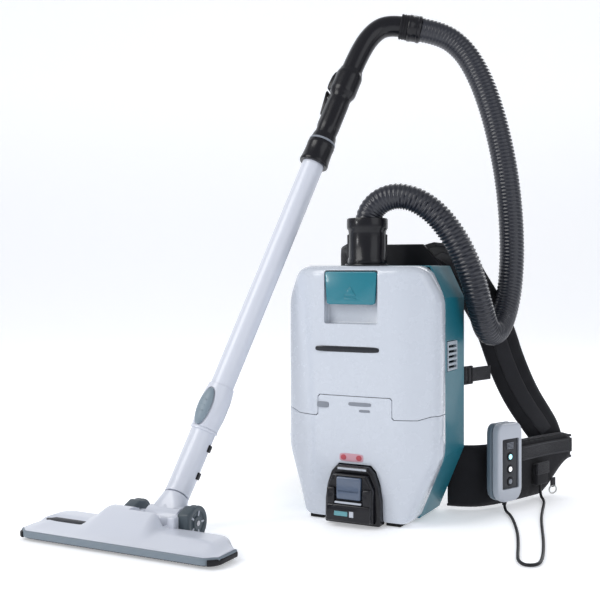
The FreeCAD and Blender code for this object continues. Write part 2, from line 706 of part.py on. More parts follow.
def handle():
    """Bent grip pipe, suction regulator ring and the swivel cuff that holds the hose."""
    grip = float(dim("grip_radius"))
    route = [on_wand(COLLAR_HIGH), on_wand(COLLAR_HIGH + 30), Vector(-50, 120, 796),
             GRIP_END - GRIP_DIRECTION * 24, GRIP_END]
    pipe = tube_along(route, grip, label="grip_pipe")
    spigot = Part.makeCylinder(grip - 1, 34, GRIP_END, GRIP_DIRECTION)
    pipe = pipe.fuse(spigot)
    shape_part("grip_pipe", pipe.removeSplitter())
    end_frame = frame_along(GRIP_END, GRIP_DIRECTION, Vector(1, 0, 0))
    inside = dim("grip_radius") - 0.9
    keep(turned(ring_profile(inside, Size(22), 0.3, 13.7)), "air_regulator", end_frame)
    keep(turned([(inside, 14), (Size(23), 14), (Size(23), 34), (Size(21), 37), (Size(0), 37), (Size(0), 34.5),
                 (inside, 34.5)]), "hose_end_cuff", end_frame)


HOSE_ROUTE = [
    Vector(-5, -5, 452), Vector(-5, -5, 475), Vector(5, -2, 495), Vector(23, 3, 508), Vector(47, 10, 512),
    Vector(75, 18, 503), Vector(105, 26, 479), Vector(133, 34, 438), Vector(153, 44, 388),
    Vector(161, 62, 334), Vector(162, 98, 290), Vector(165, 150, 290), Vector(171, 190, 338),
    Vector(175, 199, 402), Vector(174, 200, 468), Vector(168, 198, 540), Vector(156, 196, 610),
    Vector(138, 193, 680), Vector(117, 190, 735), Vector(93, 184, 776), GRIP_END + GRIP_DIRECTION * 74,
    GRIP_END + GRIP_DIRECTION * 37.3,
]


def hose():
    shape_part("suction_hose", tube_along(HOSE_ROUTE, float(dim("hose_radius")), label="suction_hose"))


# Floor nozzle: elbow on the wand, barrel that twists in it, nozzle that pitches on the axle.
def nozzle():
    left = dim("nozzle_left")
    right = dim("nozzle_right")
    front = dim("nozzle_front")
    rear = dim("nozzle_rear")
    neck_x = dim("neck_x")
    axle_y = dim("axle_y")
    axle_z = dim("wheel_radius")
    sole_low = dim("sole_low")
    sole_high = dim("sole_high")
    axle = dim("axle_radius")
    run_gap = dim("run_gap")

    elbow_route = [on_wand(SOCKET_LOW), bend, bend - neck_axis * 22]
    shape_part("elbow_tube", tube_along(elbow_route, float(dim("wand_radius")) + 1, float(dim("wand_bore"))))

    # the barrel is drawn upright about the twist axis, then laid along it
    barrel_length = (bend - Vector(bend.x, float(axle_y), float(axle_z))).Length - 22 - float(run_gap)
    tube = Part.makeCylinder(17, barrel_length, Vector(bend.x, float(axle_y), float(axle_z)), neck_axis)
    drum = Part.makeCylinder(19, 57, Vector(bend.x - 28.5, float(axle_y), float(axle_z)), Vector(1, 0, 0))
    bore = Part.makeCylinder(float(axle) + 0.1, 70, Vector(bend.x - 35, float(axle_y), float(axle_z)),
                             Vector(1, 0, 0))
    shape_part("neck_barrel", tube.fuse(drum).cut(bore).removeSplitter())

    deck = [(left, front + 12), (left + 14, front), (right - 14, front), (right, front + 12),
            (right, rear - 26), (right - 26, rear), (left + 26, rear), (left, rear - 26)]
    profile = [(front - 1, sole_high), (front - 1, 16), (front + 12, dim("nozzle_deck")),
               (rear - 30, dim("nozzle_ridge")), (rear - 10, dim("nozzle_ridge")), (rear + 1, 30),
               (rear + 1, sole_high)]
    shell = common(slab_z(deck, sole_high, 60), slab_x(profile, left - 1, right + 1))
    hood = slab_x([(front + 34, 20), (front + 44, 34), (rear - 22, 50), (rear - 8, 50), (rear - 8, 20)],
                  neck_x - 52, neck_x + 52)
    cheeks = [slab_x([(rear - 10, sole_high), (axle_y + 11, sole_high), (axle_y + 13, 24), (axle_y + 8, 36),
                      (rear - 10, 44)], neck_x + low, neck_x + high) for low, high in ((-42, -29), (29, 42))]
    solid = fuse(shell, hood, *cheeks)
    duct = slab_x([(front + 14, 0), (front + 14, 16), (rear - 34, 30), (rear - 34, 0)], left + 16, right - 16)
    neck_room = slab_x([(rear - 26, -5), (rear - 26, 32), (rear - 6, 70), (axle_y + 60, 70), (axle_y + 60, -5)],
                       neck_x - 28.8, neck_x + 28.8)
    pin_hole = rod_x((axle_y, axle_z), axle, neck_x - 60, neck_x + 60)
    keep(cut(solid, duct, neck_room, pin_hole), "nozzle_top")

    sole = slab_z([(left + 4, front + 14), (left + 16, front + 2), (right - 16, front + 2),
                   (right - 4, front + 14), (right - 4, rear - 28), (right - 28, rear - 4),
                   (left + 28, rear - 4), (left + 4, rear - 28)], sole_low, sole_high)
    mouth = slab_z(box_points(left + 40, right - 40, front + 24, front + 42), sole_low - 1, sole_high + 1)
    keep(cut(sole, mouth), "nozzle_sole")
    brushes = [slab_z(box_points(left + 24, right - 24, front + y, front + y + 5), 0, sole_low)
               for y in (10, 54)]
    keep(fuse(*brushes), "brush_strips")
    bumper_outer = [(left - 3, front + 11), (left + 12.5, front - 3), (right - 12.5, front - 3),
                    (right + 3, front + 11), (right + 3, rear - 30), (right, rear - 30),
                    (right, front + 12), (right - 14, front), (left + 14, front), (left, front + 12),
                    (left, rear - 30), (left - 3, rear - 30)]
    keep(slab_z(bumper_outer, 5, 15), "nozzle_bumper")

    keep(rod_x((axle_y, axle_z), axle, neck_x - 57, neck_x + 57), "wheel_axle")
    for label, low in (("wheel_left", -56.5), ("wheel_right", 42.5)):
        wheel = turned([(axle + 0.1, 0), (dim("wheel_radius") - 2, 0), (dim("wheel_radius"), 2),
                        (dim("wheel_radius"), dim("wheel_wide") - 2),
                        (dim("wheel_radius") - 2, dim("wheel_wide")), (axle + 0.1, dim("wheel_wide"))])
        place = Placement(Vector(float(neck_x) + low, float(axle_y), float(axle_z)),
                          Rotation(Vector(0, 1, 0), 90))
        keep(wheel, label, place)


# Hand control on the right belt wing, turned to the wing's outer face.
REMOTE_CENTRE = Vector(184.8, 115.9, 0)
REMOTE_TURN = 65.4
remote_frame = Placement(REMOTE_CENTRE, Rotation(Vector(0, 0, 1), REMOTE_TURN))


def remote():
    wide = dim("remote_wide") * 0.5
    deep = dim("remote_deep") * 0.5
    low = dim("remote_low")
    high = dim("remote_high")
    front = slab_y([(-14, low), (14, low), (wide, low + 16), (wide, high - 10), (wide - 12, high),
                    (-(wide - 12), high), (-wide, high - 10), (-wide, low + 16)], -deep, 2)
    window = slab_y(box_points(-20.5, 20.5, low + 22, high - 26), -deep - 1, -deep + 6)
    keep(cut(front, window), "remote_front", remote_frame)
    back = slab_y([(-13, low + 1), (13, low + 1), (wide - 1, low + 17), (wide - 1, high - 11),
                   (wide - 13, high - 1), (-(wide - 13), high - 1), (-(wide - 1), high - 11),
                   (-(wide - 1), low + 17)], 2, deep)
    clip = slab_x([(deep - 1, 70), (deep + 8.2, 70), (deep + 8.2, 120), (deep + 3, 120), (deep - 1, 132)], -12, 12)
    keep(fuse(back, clip), "remote_back", remote_frame)
    panel = slab_y(box_points(-20.3, 20.3, low + 22.2, high - 26.2), -deep + 2, -deep + 6)
    button_z = [float(low) + 31 + 20 * place for place in range(3)]
    wells = [slab_y([(-7.3, z - 7.3), (7.3, z - 7.3), (7.3, z + 7.3), (-7.3, z + 7.3)], -deep, -deep + 5)
             for z in button_z]
    keep(cut(panel, *wells), "remote_panel", remote_frame)
    for number, z in enumerate(button_z, 1):
        button = slab_y([(-6, z - 7), (6, z - 7), (7, z - 6), (7, z + 6), (6, z + 7), (-6, z + 7), (-7, z + 6),
                         (-7, z - 6)], -deep + 0.5, -deep + 3.8)
        keep(button, f"remote_button_{number}", remote_frame)
    relief_low = low - 8
    keep(turned([(dim("cable_radius"), relief_low), (Size(4.2), relief_low), (Size(5.5), low),
                 (dim("cable_radius"), low)]), "strain_relief", Placement(REMOTE_CENTRE, Rotation()))


CABLE_ROUTE = [
    Vector(184.8, 115.9, 20), Vector(184.8, 115.9, 2.6), Vector(203, 88, 2.6), Vector(224, 36, 2.6),
    Vector(244, -22, 2.6), Vector(260, -80, 2.6), Vector(272, -128, 2.6), Vector(280, -156, 2.6),
    Vector(294, -172, 2.6), Vector(309, -160, 2.6), Vector(306, -128, 2.6), Vector(296, -80, 2.6),
    Vector(282, -24, 2.6), Vector(266, 34, 2.6), Vector(251, 92, 2.6), Vector(240, 146, 2.6),
    Vector(232, 190, 2.6), Vector(225, 216, 2.6), Vector(214.6, 233.6, 6), Vector(214.6, 233.6, 25),
]


def cable():
    shape_part("remote_cable", tube_along(CABLE_ROUTE, float(dim("cable_radius")), label="remote_cable"))


def cover_screws():
    """Screws that hold the back of the housing to the frame."""
    spots = [(-84, 150), (84, 150), (-84, 388), (84, 388)]
    rear = back_y + 0.3 + dim("frame_thick")
    heads = []
    for x, z in spots:
        screw = padded_body("XZ_Plane", lambda b, r, s: disc(b, r, (Size(x), Size(z)), 4, s),
                            0 - (rear + 2.5), Size(2.5))
        heads.append(screw)
    keep(fuse(*heads), "frame_screws")


for build in (main_housing, lower_front_cover, front_lid, lid_gasket, lid_latch, vent_grilles, base_feet,
              battery_bay, battery, inlet, bag_and_filter, motor, back_harness, waist_belt, shoulder_straps,
              wand, handle, hose, nozzle, remote, cable, cover_screws):
    build()

doc.recompute()
for item in doc.Objects:
    if "Invalid" in item.State or "Error" in item.State:
        raise RuntimeError(f"{item.Name} did not compute: {item.State}")
for item in finished:
    shape = item.Shape
    if shape.isNull() or not shape.isValid() or not shape.Solids:
        raise RuntimeError(f"{item.Label} is not a valid solid")
    print(f"{item.Label}: {len(shape.Solids)} solid, {shape.Volume / 1000:.1f} cm3")
    shape.exportStep(f"parts/{item.Label}.step")
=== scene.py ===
import math

import bmesh
import bpy
from mathutils import Matrix, Vector


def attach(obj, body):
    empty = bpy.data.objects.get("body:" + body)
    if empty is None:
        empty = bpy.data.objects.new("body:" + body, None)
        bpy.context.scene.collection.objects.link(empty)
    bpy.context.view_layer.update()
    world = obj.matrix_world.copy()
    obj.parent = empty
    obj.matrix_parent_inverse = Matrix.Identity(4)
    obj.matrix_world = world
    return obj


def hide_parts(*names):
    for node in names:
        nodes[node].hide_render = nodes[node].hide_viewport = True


# Backpack vacuum cleaner. Sizes are in millimetres in the part's own frame and are scaled
# once to metres by mm(); only the routes of the hose and the cable are given in metres.
# -Y is the outer face of the body and +Z is up.
MM = 0.001
VIEW_TURN = math.radians(27.2)
UP = Vector((0, 0, 1))
RIGHT = Vector((1, 0, 0))

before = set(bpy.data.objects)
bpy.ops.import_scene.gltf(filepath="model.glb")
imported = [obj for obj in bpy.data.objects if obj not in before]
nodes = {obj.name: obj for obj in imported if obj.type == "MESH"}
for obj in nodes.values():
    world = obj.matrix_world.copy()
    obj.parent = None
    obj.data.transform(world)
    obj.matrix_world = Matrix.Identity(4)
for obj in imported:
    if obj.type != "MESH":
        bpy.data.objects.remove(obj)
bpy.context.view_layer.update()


def mm(x, y, z):
    return Vector((x, y, z)) * MM


# ---------------------------------------------------------------- camera, light, floor
def set_camera():
    camera = bpy.data.objects.new("camera", bpy.data.cameras.new("camera"))
    bpy.context.scene.collection.objects.link(camera)
    camera.location = mm(633, -1483, 393)
    camera.rotation_euler = (math.radians(90), 0, VIEW_TURN)
    camera.data.lens = 60
    camera.data.shift_y = -0.05
    bpy.context.scene.camera = camera


def area_light(name, place, aim, size, power, colour):
    data = bpy.data.lights.new(name, "AREA")
    data.size = size
    data.energy = power
    data.color = colour
    lamp = bpy.data.objects.new(name, data)
    lamp.location = Vector(place)
    lamp.rotation_euler = (Vector(aim) - Vector(place)).to_track_quat("-Z", "Y").to_euler()
    bpy.context.scene.collection.objects.link(lamp)


def set_studio():
    area_light("key_light", (-1.3, -1.9, 2.1), (0, 0, 0.35), 1.6, 33, (1.0, 0.99, 0.97))
    area_light("fill_light", (2.2, -0.9, 1.3), (0.1, 0.1, 0.3), 1.8, 11, (0.95, 0.97, 1.0))
    area_light("back_light", (0.5, 2.0, 2.0), (0, 0.1, 0.3), 1.4, 17, (1.0, 1.0, 1.0))
    area_light("strip_light", (-1.9, -2.3, 0.9), (0, 0, 0.45), 0.35, 9, (1.0, 1.0, 1.0))
    world = bpy.data.worlds.new("studio")
    world.use_nodes = True
    background = world.node_tree.nodes["Background"]
    background.inputs["Color"].default_value = (0.93, 0.95, 1.0, 1)
    background.inputs["Strength"].default_value = 0.45
    scene = bpy.context.scene
    scene.world = world
    scene.view_settings.view_transform = "Standard"
    backdrop()


def backdrop():
    """Floor that curves up into a wall behind the part, in metres."""
    rise, far, height, half_width_m, floor_z, steps = 1.6, 3.4, 12.0, 9.0, -0.0005, 16
    profile = [(-half_width_m, floor_z), (far, floor_z)]
    for step in range(1, steps + 1):
        angle = math.pi / 2 * step / steps
        profile.append((far + rise * math.sin(angle), floor_z + rise * (1 - math.cos(angle))))
    profile.append((far + rise, height))
    turn = Matrix.Rotation(VIEW_TURN, 3, "Z")
    verts = [turn @ Vector((side * half_width_m, y, z)) for y, z in profile for side in (-1, 1)]
    faces = [[2 * k, 2 * k + 1, 2 * k + 3, 2 * k + 2] for k in range(len(profile) - 1)]
    mesh = bpy.data.meshes.new("backdrop")
    mesh.from_pydata([tuple(vert) for vert in verts], [], faces)
    return link_mesh("backdrop", mesh, floor_material(), 80)


# ---------------------------------------------------------------- node groups and materials
def add_node(tree, kind, place=(0, 0), **values):
    node = tree.nodes.new(kind)
    node.location = place
    for key, value in values.items():
        if key in node.inputs:
            node.inputs[key].default_value = value
        else:
            setattr(node, key, value)
    return node


def new_group(name, inputs, outputs):
    group = bpy.data.node_groups.new(name, "ShaderNodeTree")
    for label, kind, value in inputs:
        socket = group.interface.new_socket(label, in_out="INPUT", socket_type=kind)
        socket.default_value = value
    for label, kind in outputs:
        group.interface.new_socket(label, in_out="OUTPUT", socket_type=kind)
    return group, group.nodes.new("NodeGroupInput"), group.nodes.new("NodeGroupOutput")


def math_node(tree, operation, *terms, clamp=False):
    """Math node's result; each term is a socket to link or a plain number."""
    node = add_node(tree, "ShaderNodeMath", operation=operation, use_clamp=clamp)
    for socket, term in zip(node.inputs, terms):
        if isinstance(term, bpy.types.NodeSocket):
            tree.links.new(term, socket)
        else:
            socket.default_value = term
    return node.outputs[0]


def noise(tree, place, **values):
    """Noise over the object's own coordinates."""
    node = add_node(tree, "ShaderNodeTexNoise", **values)
    tree.links.new(place.outputs["Object"], node.inputs["Vector"])
    return node


def bump_out(tree, height, strength, distance, sink):
    """Bump whose normal leaves the group."""
    bump = add_node(tree, "ShaderNodeBump", Distance=distance)
    tree.links.new(height, bump.inputs["Height"])
    tree.links.new(strength, bump.inputs["Strength"])
    tree.links.new(bump.outputs["Normal"], sink.inputs["Normal"])


def moulded_group():
    """Moulded plastic: slow colour drift, uneven gloss and a fine grain."""
    group, source, sink = new_group(
        "moulded_plastic",
        [("Colour", "NodeSocketColor", (0.8, 0.8, 0.8, 1)), ("Drift", "NodeSocketFloat", 0.04),
         ("Roughness", "NodeSocketFloat", 0.3), ("Spread", "NodeSocketFloat", 0.08),
         ("Grain Scale", "NodeSocketFloat", 900.0), ("Grain Depth", "NodeSocketFloat", 0.05)],
        [("Colour", "NodeSocketColor"), ("Roughness", "NodeSocketFloat"), ("Normal", "NodeSocketVector")])
    link = group.links.new
    place = add_node(group, "ShaderNodeTexCoord")
    cloud = noise(group, place, Scale=9.0, Detail=3.0)
    smear = noise(group, place, Scale=42.0, Detail=6.0, Roughness=0.65)
    grain = noise(group, place, Detail=2.0)
    link(source.outputs["Grain Scale"], grain.inputs["Scale"])
    centred = math_node(group, "SUBTRACT", cloud.outputs["Fac"], 0.5)
    drift = math_node(group, "MULTIPLY", centred, source.outputs["Drift"])
    bright = math_node(group, "ADD", drift, 1.0)
    tint = add_node(group, "ShaderNodeHueSaturation")
    link(source.outputs["Colour"], tint.inputs["Color"])
    link(bright, tint.inputs["Value"])
    link(tint.outputs["Color"], sink.inputs["Colour"])
    gloss = math_node(group, "MULTIPLY_ADD", smear.outputs["Fac"], source.outputs["Spread"],
                      source.outputs["Roughness"])
    link(gloss, sink.inputs["Roughness"])
    bump_out(group, grain.outputs["Fac"], source.outputs["Grain Depth"], 0.0004, sink)
    return group


def woven_group():
    """Plain weave from two crossed sets of threads, with fuzz between them; the raised threads get a painted
    highlight colour in patches.
    """
    group, source, sink = new_group(
        "woven_cloth",
        [("Colour", "NodeSocketColor", (0.02, 0.02, 0.02, 1)),
         ("Highlight", "NodeSocketColor", (0.1, 0.1, 0.1, 1)),
         ("Threads", "NodeSocketFloat", 260.0), ("Depth", "NodeSocketFloat", 0.5)],
        [("Colour", "NodeSocketColor"), ("Normal", "NodeSocketVector")])
    link = group.links.new
    place = add_node(group, "ShaderNodeTexCoord")
    waves = []
    for axis in ("Z", "DIAGONAL"):
        wave = add_node(group, "ShaderNodeTexWave", wave_type="BANDS", bands_direction=axis,
                        Distortion=0.35, Detail=1.0)
        link(place.outputs["Object"], wave.inputs["Vector"])
        link(source.outputs["Threads"], wave.inputs["Scale"])
        waves.append(wave.outputs["Fac"])
    weave = math_node(group, "MULTIPLY", *waves)
    fuzz = noise(group, place, Scale=1500.0, Detail=2.0)
    height = math_node(group, "MULTIPLY_ADD", fuzz.outputs["Fac"], 0.35, weave)
    # Patches where the raised threads take the painted highlight colour.
    highlight_patches = noise(group, place, Scale=16.0, Detail=4.0)
    share = math_node(group, "MULTIPLY", height, highlight_patches.outputs["Fac"], clamp=True)
    mix = add_node(group, "ShaderNodeMix", data_type="RGBA")
    link(share, mix.inputs["Factor"])
    link(source.outputs["Colour"], mix.inputs[6])
    link(source.outputs["Highlight"], mix.inputs[7])
    link(mix.outputs[2], sink.inputs["Colour"])
    bump_out(group, height, source.outputs["Depth"], 0.0006, sink)
    return group


def wear_group():
    """Pale rub marks on sharp edges, as a mask."""
    group, source, sink = new_group(
        "edge_wear", [("Amount", "NodeSocketFloat", 0.3)], [("Mask", "NodeSocketFloat")])
    shape = add_node(group, "ShaderNodeNewGeometry")
    ramp = add_node(group, "ShaderNodeMapRange")
    ramp.inputs["From Min"].default_value = 0.53
    ramp.inputs["From Max"].default_value = 0.62
    group.links.new(shape.outputs["Pointiness"], ramp.inputs["Value"])
    patches = noise(group, add_node(group, "ShaderNodeTexCoord"), Scale=60.0, Detail=5.0)
    broken = math_node(group, "MULTIPLY", ramp.outputs["Result"], patches.outputs["Fac"])
    scaled = math_node(group, "MULTIPLY", broken, source.outputs["Amount"], clamp=True)
    group.links.new(scaled, sink.inputs["Mask"])
    return group


def blank_material(name):
    material = bpy.data.materials.new(name)
    material.use_nodes = True
    tree = material.node_tree
    tree.nodes.clear()
    shader = add_node(tree, "ShaderNodeBsdfPrincipled", (200, 0))
    output = add_node(tree, "ShaderNodeOutputMaterial", (500, 0))
    tree.links.new(shader.outputs["BSDF"], output.inputs["Surface"])
    return material, tree, shader


def use_group(tree, group, **values):
    node = tree.nodes.new("ShaderNodeGroup")
    node.node_tree = group
    for key, value in values.items():
        node.inputs[key.replace("_", " ")].default_value = value
    return node


def dress(tree, shader, texture, *sockets):
    """Feed the shader's named sockets from a texture group."""
    for socket in sockets:
        output = "Colour" if "Color" in socket else socket
        tree.links.new(texture.outputs[output], shader.inputs[socket])


def set_shader(shader, values):
    """Plain numbers on the shader's own sockets."""
    for socket, value in values.items():
        shader.inputs[socket].default_value = value


def plastic(name, colour, roughness, coat=0.0, grain=0.05, drift=0.05, wear=0.25, wear_colour=None,
            specular=0.5):
    """Moulded plastic with worn edges."""
    material, tree, shader = blank_material(name)
    moulded = use_group(tree, MOULDED, Colour=(*colour, 1), Drift=drift, Roughness=roughness,
                        Spread=0.1, Grain_Depth=grain)
    highlight_patches = use_group(tree, WEAR, Amount=wear)
    mix = add_node(tree, "ShaderNodeMix", data_type="RGBA")
    paler = wear_colour or tuple(min(1.0, channel * 1.25 + 0.05) for channel in colour)
    mix.inputs[7].default_value = (*paler, 1)
    tree.links.new(highlight_patches.outputs["Mask"], mix.inputs["Factor"])
    tree.links.new(moulded.outputs["Colour"], mix.inputs[6])
    tree.links.new(mix.outputs[2], shader.inputs["Base Color"])
    dress(tree, shader, moulded, "Roughness", "Normal")
    set_shader(shader, {"Specular IOR Level": specular, "Coat Weight": coat, "Coat Roughness": 0.08})
    return material


def cloth(name, colour, highlight, threads, depth, sheen=0.12):
    """Woven fabric with a soft sheen."""
    material, tree, shader = blank_material(name)
    weave = use_group(tree, WOVEN, Colour=(*colour, 1), Highlight=(*highlight, 1), Threads=threads,
                      Depth=depth)
    dress(tree, shader, weave, "Base Color", "Normal")
    set_shader(shader, {"Roughness": 0.85, "Specular IOR Level": 0.2, "Sheen Weight": sheen,
                        "Sheen Roughness": 0.5})
    return material


def metal(name, colour, roughness):
    """Steel with a fine grain of tool marks."""
    material, tree, shader = blank_material(name)
    moulded = use_group(tree, MOULDED, Colour=(*colour, 1), Drift=0.1, Roughness=roughness, Spread=0.15,
                        Grain_Scale=2500.0, Grain_Depth=0.12)
    dress(tree, shader, moulded, "Base Color", "Roughness", "Normal")
    set_shader(shader, {"Metallic": 1.0})
    return material


def glowing(name, colour, roughness, strength, **values):
    """Smooth surface that also gives off a little light of its own colour."""
    material, tree, shader = blank_material(name)
    moulded = use_group(tree, MOULDED, Colour=(*colour, 1), Roughness=roughness, **values)
    dress(tree, shader, moulded, "Base Color", "Emission Color", "Roughness")
    set_shader(shader, {"Emission Strength": strength})
    return material


def floor_material():
    return glowing("pale_floor", (0.92, 0.93, 0.95), 0.6, 0.38, Drift=0.01, Grain_Depth=0.0)


MOULDED = moulded_group()
WOVEN = woven_group()
WEAR = wear_group()

WHITE = plastic("casing_white", (0.56, 0.60, 0.67), 0.22, coat=0.5, grain=0.03, drift=0.03, wear=0.1)
WAND_WHITE = plastic("wand_white", (0.64, 0.67, 0.75), 0.25, coat=0.35, grain=0.02, drift=0.03, wear=0.1)
TEAL = plastic("casing_teal", (0.003, 0.13, 0.18), 0.36, coat=0.15, grain=0.12, wear=0.3)
LATCH_TEAL = plastic("latch_teal", (0.003, 0.17, 0.23), 0.25, coat=0.4, wear=0.25)
BLACK = plastic("gloss_black", (0.006, 0.006, 0.009), 0.2, coat=0.15, grain=0.04, wear=0.25,
                wear_colour=(0.03, 0.03, 0.035), specular=0.3)
SATIN_BLACK = plastic("satin_black", (0.010, 0.010, 0.013), 0.42, grain=0.2, wear=0.25,
                      wear_colour=(0.03, 0.03, 0.035), specular=0.25)
GREY = plastic("bumper_grey", (0.17, 0.21, 0.25), 0.42, grain=0.15)
OVAL_GREY = plastic("button_grey", (0.22, 0.28, 0.33), 0.38, grain=0.1)
PALE_GREY = plastic("case_grey", (0.47, 0.50, 0.56), 0.33, coat=0.2, grain=0.08)
INSET = plastic("battery_inset", (0.07, 0.10, 0.16), 0.16, coat=0.6, grain=0.03)
WHEEL = plastic("wheel_grey", (0.055, 0.075, 0.09), 0.4, grain=0.15)
HOSE = plastic("hose_charcoal", (0.017, 0.019, 0.028), 0.24, coat=0.3, grain=0.05, wear=0.3,
               wear_colour=(0.05, 0.055, 0.075), specular=0.4)
CABLE = plastic("cable_rubber", (0.010, 0.010, 0.012), 0.4, grain=0.15, specular=0.3)
RUBBER = plastic("foot_rubber", (0.012, 0.012, 0.012), 0.75, grain=0.3, specular=0.2)
BADGE_DARK = plastic("badge_dark", (0.012, 0.014, 0.02), 0.3, coat=0.2, wear=0.1, specular=0.3)
BADGE_RED = plastic("badge_red", (0.42, 0.05, 0.07), 0.3, coat=0.3)
BADGE_PINK = plastic("badge_pale_red", (0.55, 0.30, 0.36), 0.35, coat=0.2)
BADGE_TEAL = plastic("badge_teal", (0.10, 0.30, 0.34), 0.3, coat=0.3)
REMOTE_REAR = plastic("remote_blue_grey", (0.13, 0.17, 0.21), 0.35, coat=0.2, grain=0.1)
VENT_GREY = plastic("vent_grey", (0.33, 0.38, 0.43), 0.4, grain=0.1)
LOOP_WHITE = plastic("loop_white", (0.62, 0.62, 0.60), 0.4)
THREAD = plastic("thread_grey", (0.10, 0.10, 0.11), 0.7)
BADGE_GREY = plastic("badge_grey", (0.22, 0.24, 0.28), 0.35)
BRISTLE = plastic("bristle_black", (0.03, 0.03, 0.035), 0.6, grain=0.3)
BOARD = plastic("board_green", (0.02, 0.13, 0.05), 0.4)
PADDING = cloth("padding_cloth", (0.005, 0.005, 0.007), (0.035, 0.035, 0.04), 210.0, 0.55)
MESH_CLOTH = cloth("mesh_cloth", (0.005, 0.005, 0.006), (0.03, 0.03, 0.034), 120.0, 0.8)
WEBBING = cloth("webbing_cloth", (0.010, 0.010, 0.013), (0.06, 0.06, 0.07), 320.0, 0.8, 0.2)
PIPING = cloth("piping_cloth", (0.012, 0.012, 0.015), (0.08, 0.08, 0.09), 420.0, 0.6, 0.25)
BAG = cloth("bag_fleece", (0.55, 0.53, 0.47), (0.75, 0.73, 0.68), 150.0, 0.3)
FILTER = cloth("filter_fleece", (0.6, 0.6, 0.57), (0.8, 0.8, 0.78), 90.0, 0.5)
STEEL = metal("turned_steel", (0.5, 0.5, 0.52), 0.3)
LAMP_BLUE = glowing("lamp_blue", (0.35, 0.85, 0.95), 0.15, 1.6)
LAMP_WHITE = glowing("lamp_white", (0.9, 0.92, 0.95), 0.15, 0.9)


# ---------------------------------------------------------------- mesh helpers
def ease(value, low, high):
    """Smooth step from 0 at low to 1 at high."""
    t = min(1.0, max(0.0, (value - low) / (high - low)))
    return t * t * (3 - 2 * t)


def shade(mesh, smooth_angle):
    """Smooth shading with creases at sharper edges."""
    mesh.polygons.foreach_set("use_smooth", [True] * len(mesh.polygons))
    mesh.set_sharp_from_angle(angle=math.radians(smooth_angle))


def link_mesh(name, mesh, material, smooth_angle=35):
    thing = bpy.data.objects.new(name, mesh)
    bpy.context.scene.collection.objects.link(thing)
    mesh.materials.append(material)
    shade(mesh, smooth_angle)
    mesh.update()
    return thing


def tube_faces(rows, around, capped=True):
    """Faces between rings of points, with a cap at each end."""
    faces = []
    for row in range(rows - 1):
        for k in range(around):
            low, low_next = row * around + k, row * around + (k + 1) % around
            faces.append([low, low_next, low_next + around, low + around])
    if capped:
        faces.append(list(range(around)))
        faces.append([(rows - 1) * around + k for k in range(around)])
    return faces


def mesh_from(name, points, faces, material, smooth_angle=35):
    mesh = bpy.data.meshes.new(name)
    mesh.from_pydata([tuple(p) for p in points], [], faces)
    tidy = bmesh.new()
    tidy.from_mesh(mesh)
    bmesh.ops.recalc_face_normals(tidy, faces=tidy.faces)
    tidy.to_mesh(mesh)
    tidy.free()
    return link_mesh(name, mesh, material, smooth_angle)


def baked(thing, smooth_angle=35):
    """Apply the modifiers to the mesh."""
    graph = bpy.context.evaluated_depsgraph_get()
    mesh = bpy.data.meshes.new_from_object(thing.evaluated_get(graph))
    shade(mesh, smooth_angle)
    thing.modifiers.clear()
    thing.data = mesh
    return thing


def with_bevel(thing, width, segments=3, angle=30):
    bevel = thing.modifiers.new("edges", "BEVEL")
    bevel.width = width * MM
    bevel.segments = segments
    bevel.limit_method = "ANGLE"
    bevel.angle_limit = math.radians(angle)
    bevel.use_clamp_overlap = True
    return baked(thing)


def boolean(thing, tool, operation="DIFFERENCE"):
    cutter = thing.modifiers.new("cut", "BOOLEAN")
    cutter.operation = operation
    cutter.object = tool
    cutter.solver = "EXACT"
    baked(thing)
    bpy.data.objects.remove(tool)
    return thing


def prism(name, outline, axis, low, high, material, bevel=1.0, segments=3, place=None):
    """Outline (u, v) run along an axis, with rounded edges. Axis X uses (y, z), Y (x, z), Z (x, y)."""
    def point(u, v, w):
        return {"X": (w, u, v), "Y": (u, w, v), "Z": (u, v, w)}[axis]

    count = len(outline)
    points = [mm(*point(u, v, w)) for w in (low, high) for u, v in outline]
    faces = [list(range(count)), list(range(count, 2 * count))]
    faces += [[i, (i + 1) % count, (i + 1) % count + count, i + count] for i in range(count)]
    thing = mesh_from(name, points, faces, material)
    if bevel:
        with_bevel(thing, bevel, segments)
    if place is not None:
        thing.data.transform(place)
    return thing


def block(name, x, y, z, material, bevel=1.0, segments=3, place=None):
    """Rounded block between pairs of limits."""
    outline = [(x[0], y[0]), (x[1], y[0]), (x[1], y[1]), (x[0], y[1])]
    return prism(name, outline, "Z", z[0], z[1], material, bevel, segments, place)


def both_sides(right):
    """Symmetric outline from its right half, which is given from the base up."""
    left = [(-u, v) for u, v in reversed(right)]
    return left[-1:] + right + left[:-1]


def oval_outline(centre, half_u, half_v, steps=40, power=2.0):
    """Superellipse outline: power 2 is an ellipse, larger is boxier."""
    outline = []
    for step in range(steps):
        angle = 2 * math.pi * step / steps
        c, s = math.cos(angle), math.sin(angle)
        outline.append((centre[0] + half_u * math.copysign(abs(c) ** (2 / power), c),
                        centre[1] + half_v * math.copysign(abs(s) ** (2 / power), s)))
    return outline


def lathe(name, profile, place, material, segments=72, smooth_angle=40):
    """Profile of (radius, height) turned about Z, then put in place."""
    points = []
    faces = []
    count = len(profile)
    for step in range(segments):
        angle = 2 * math.pi * step / segments
        points += [mm(r * math.cos(angle), r * math.sin(angle), z) for r, z in profile]
    for step in range(segments):
        here = step * count
        there = (step + 1) % segments * count
        for row in range(count):
            nxt = (row + 1) % count
            faces.append([here + row, there + row, there + nxt, here + nxt])
    thing = mesh_from(name, points, faces, material, smooth_angle)
    tidy = bmesh.new()
    tidy.from_mesh(thing.data)
    bmesh.ops.remove_doubles(tidy, verts=tidy.verts, dist=1e-6)
    bmesh.ops.recalc_face_normals(tidy, faces=tidy.faces)
    tidy.to_mesh(thing.data)
    tidy.free()
    thing.data.transform(place)
    return thing


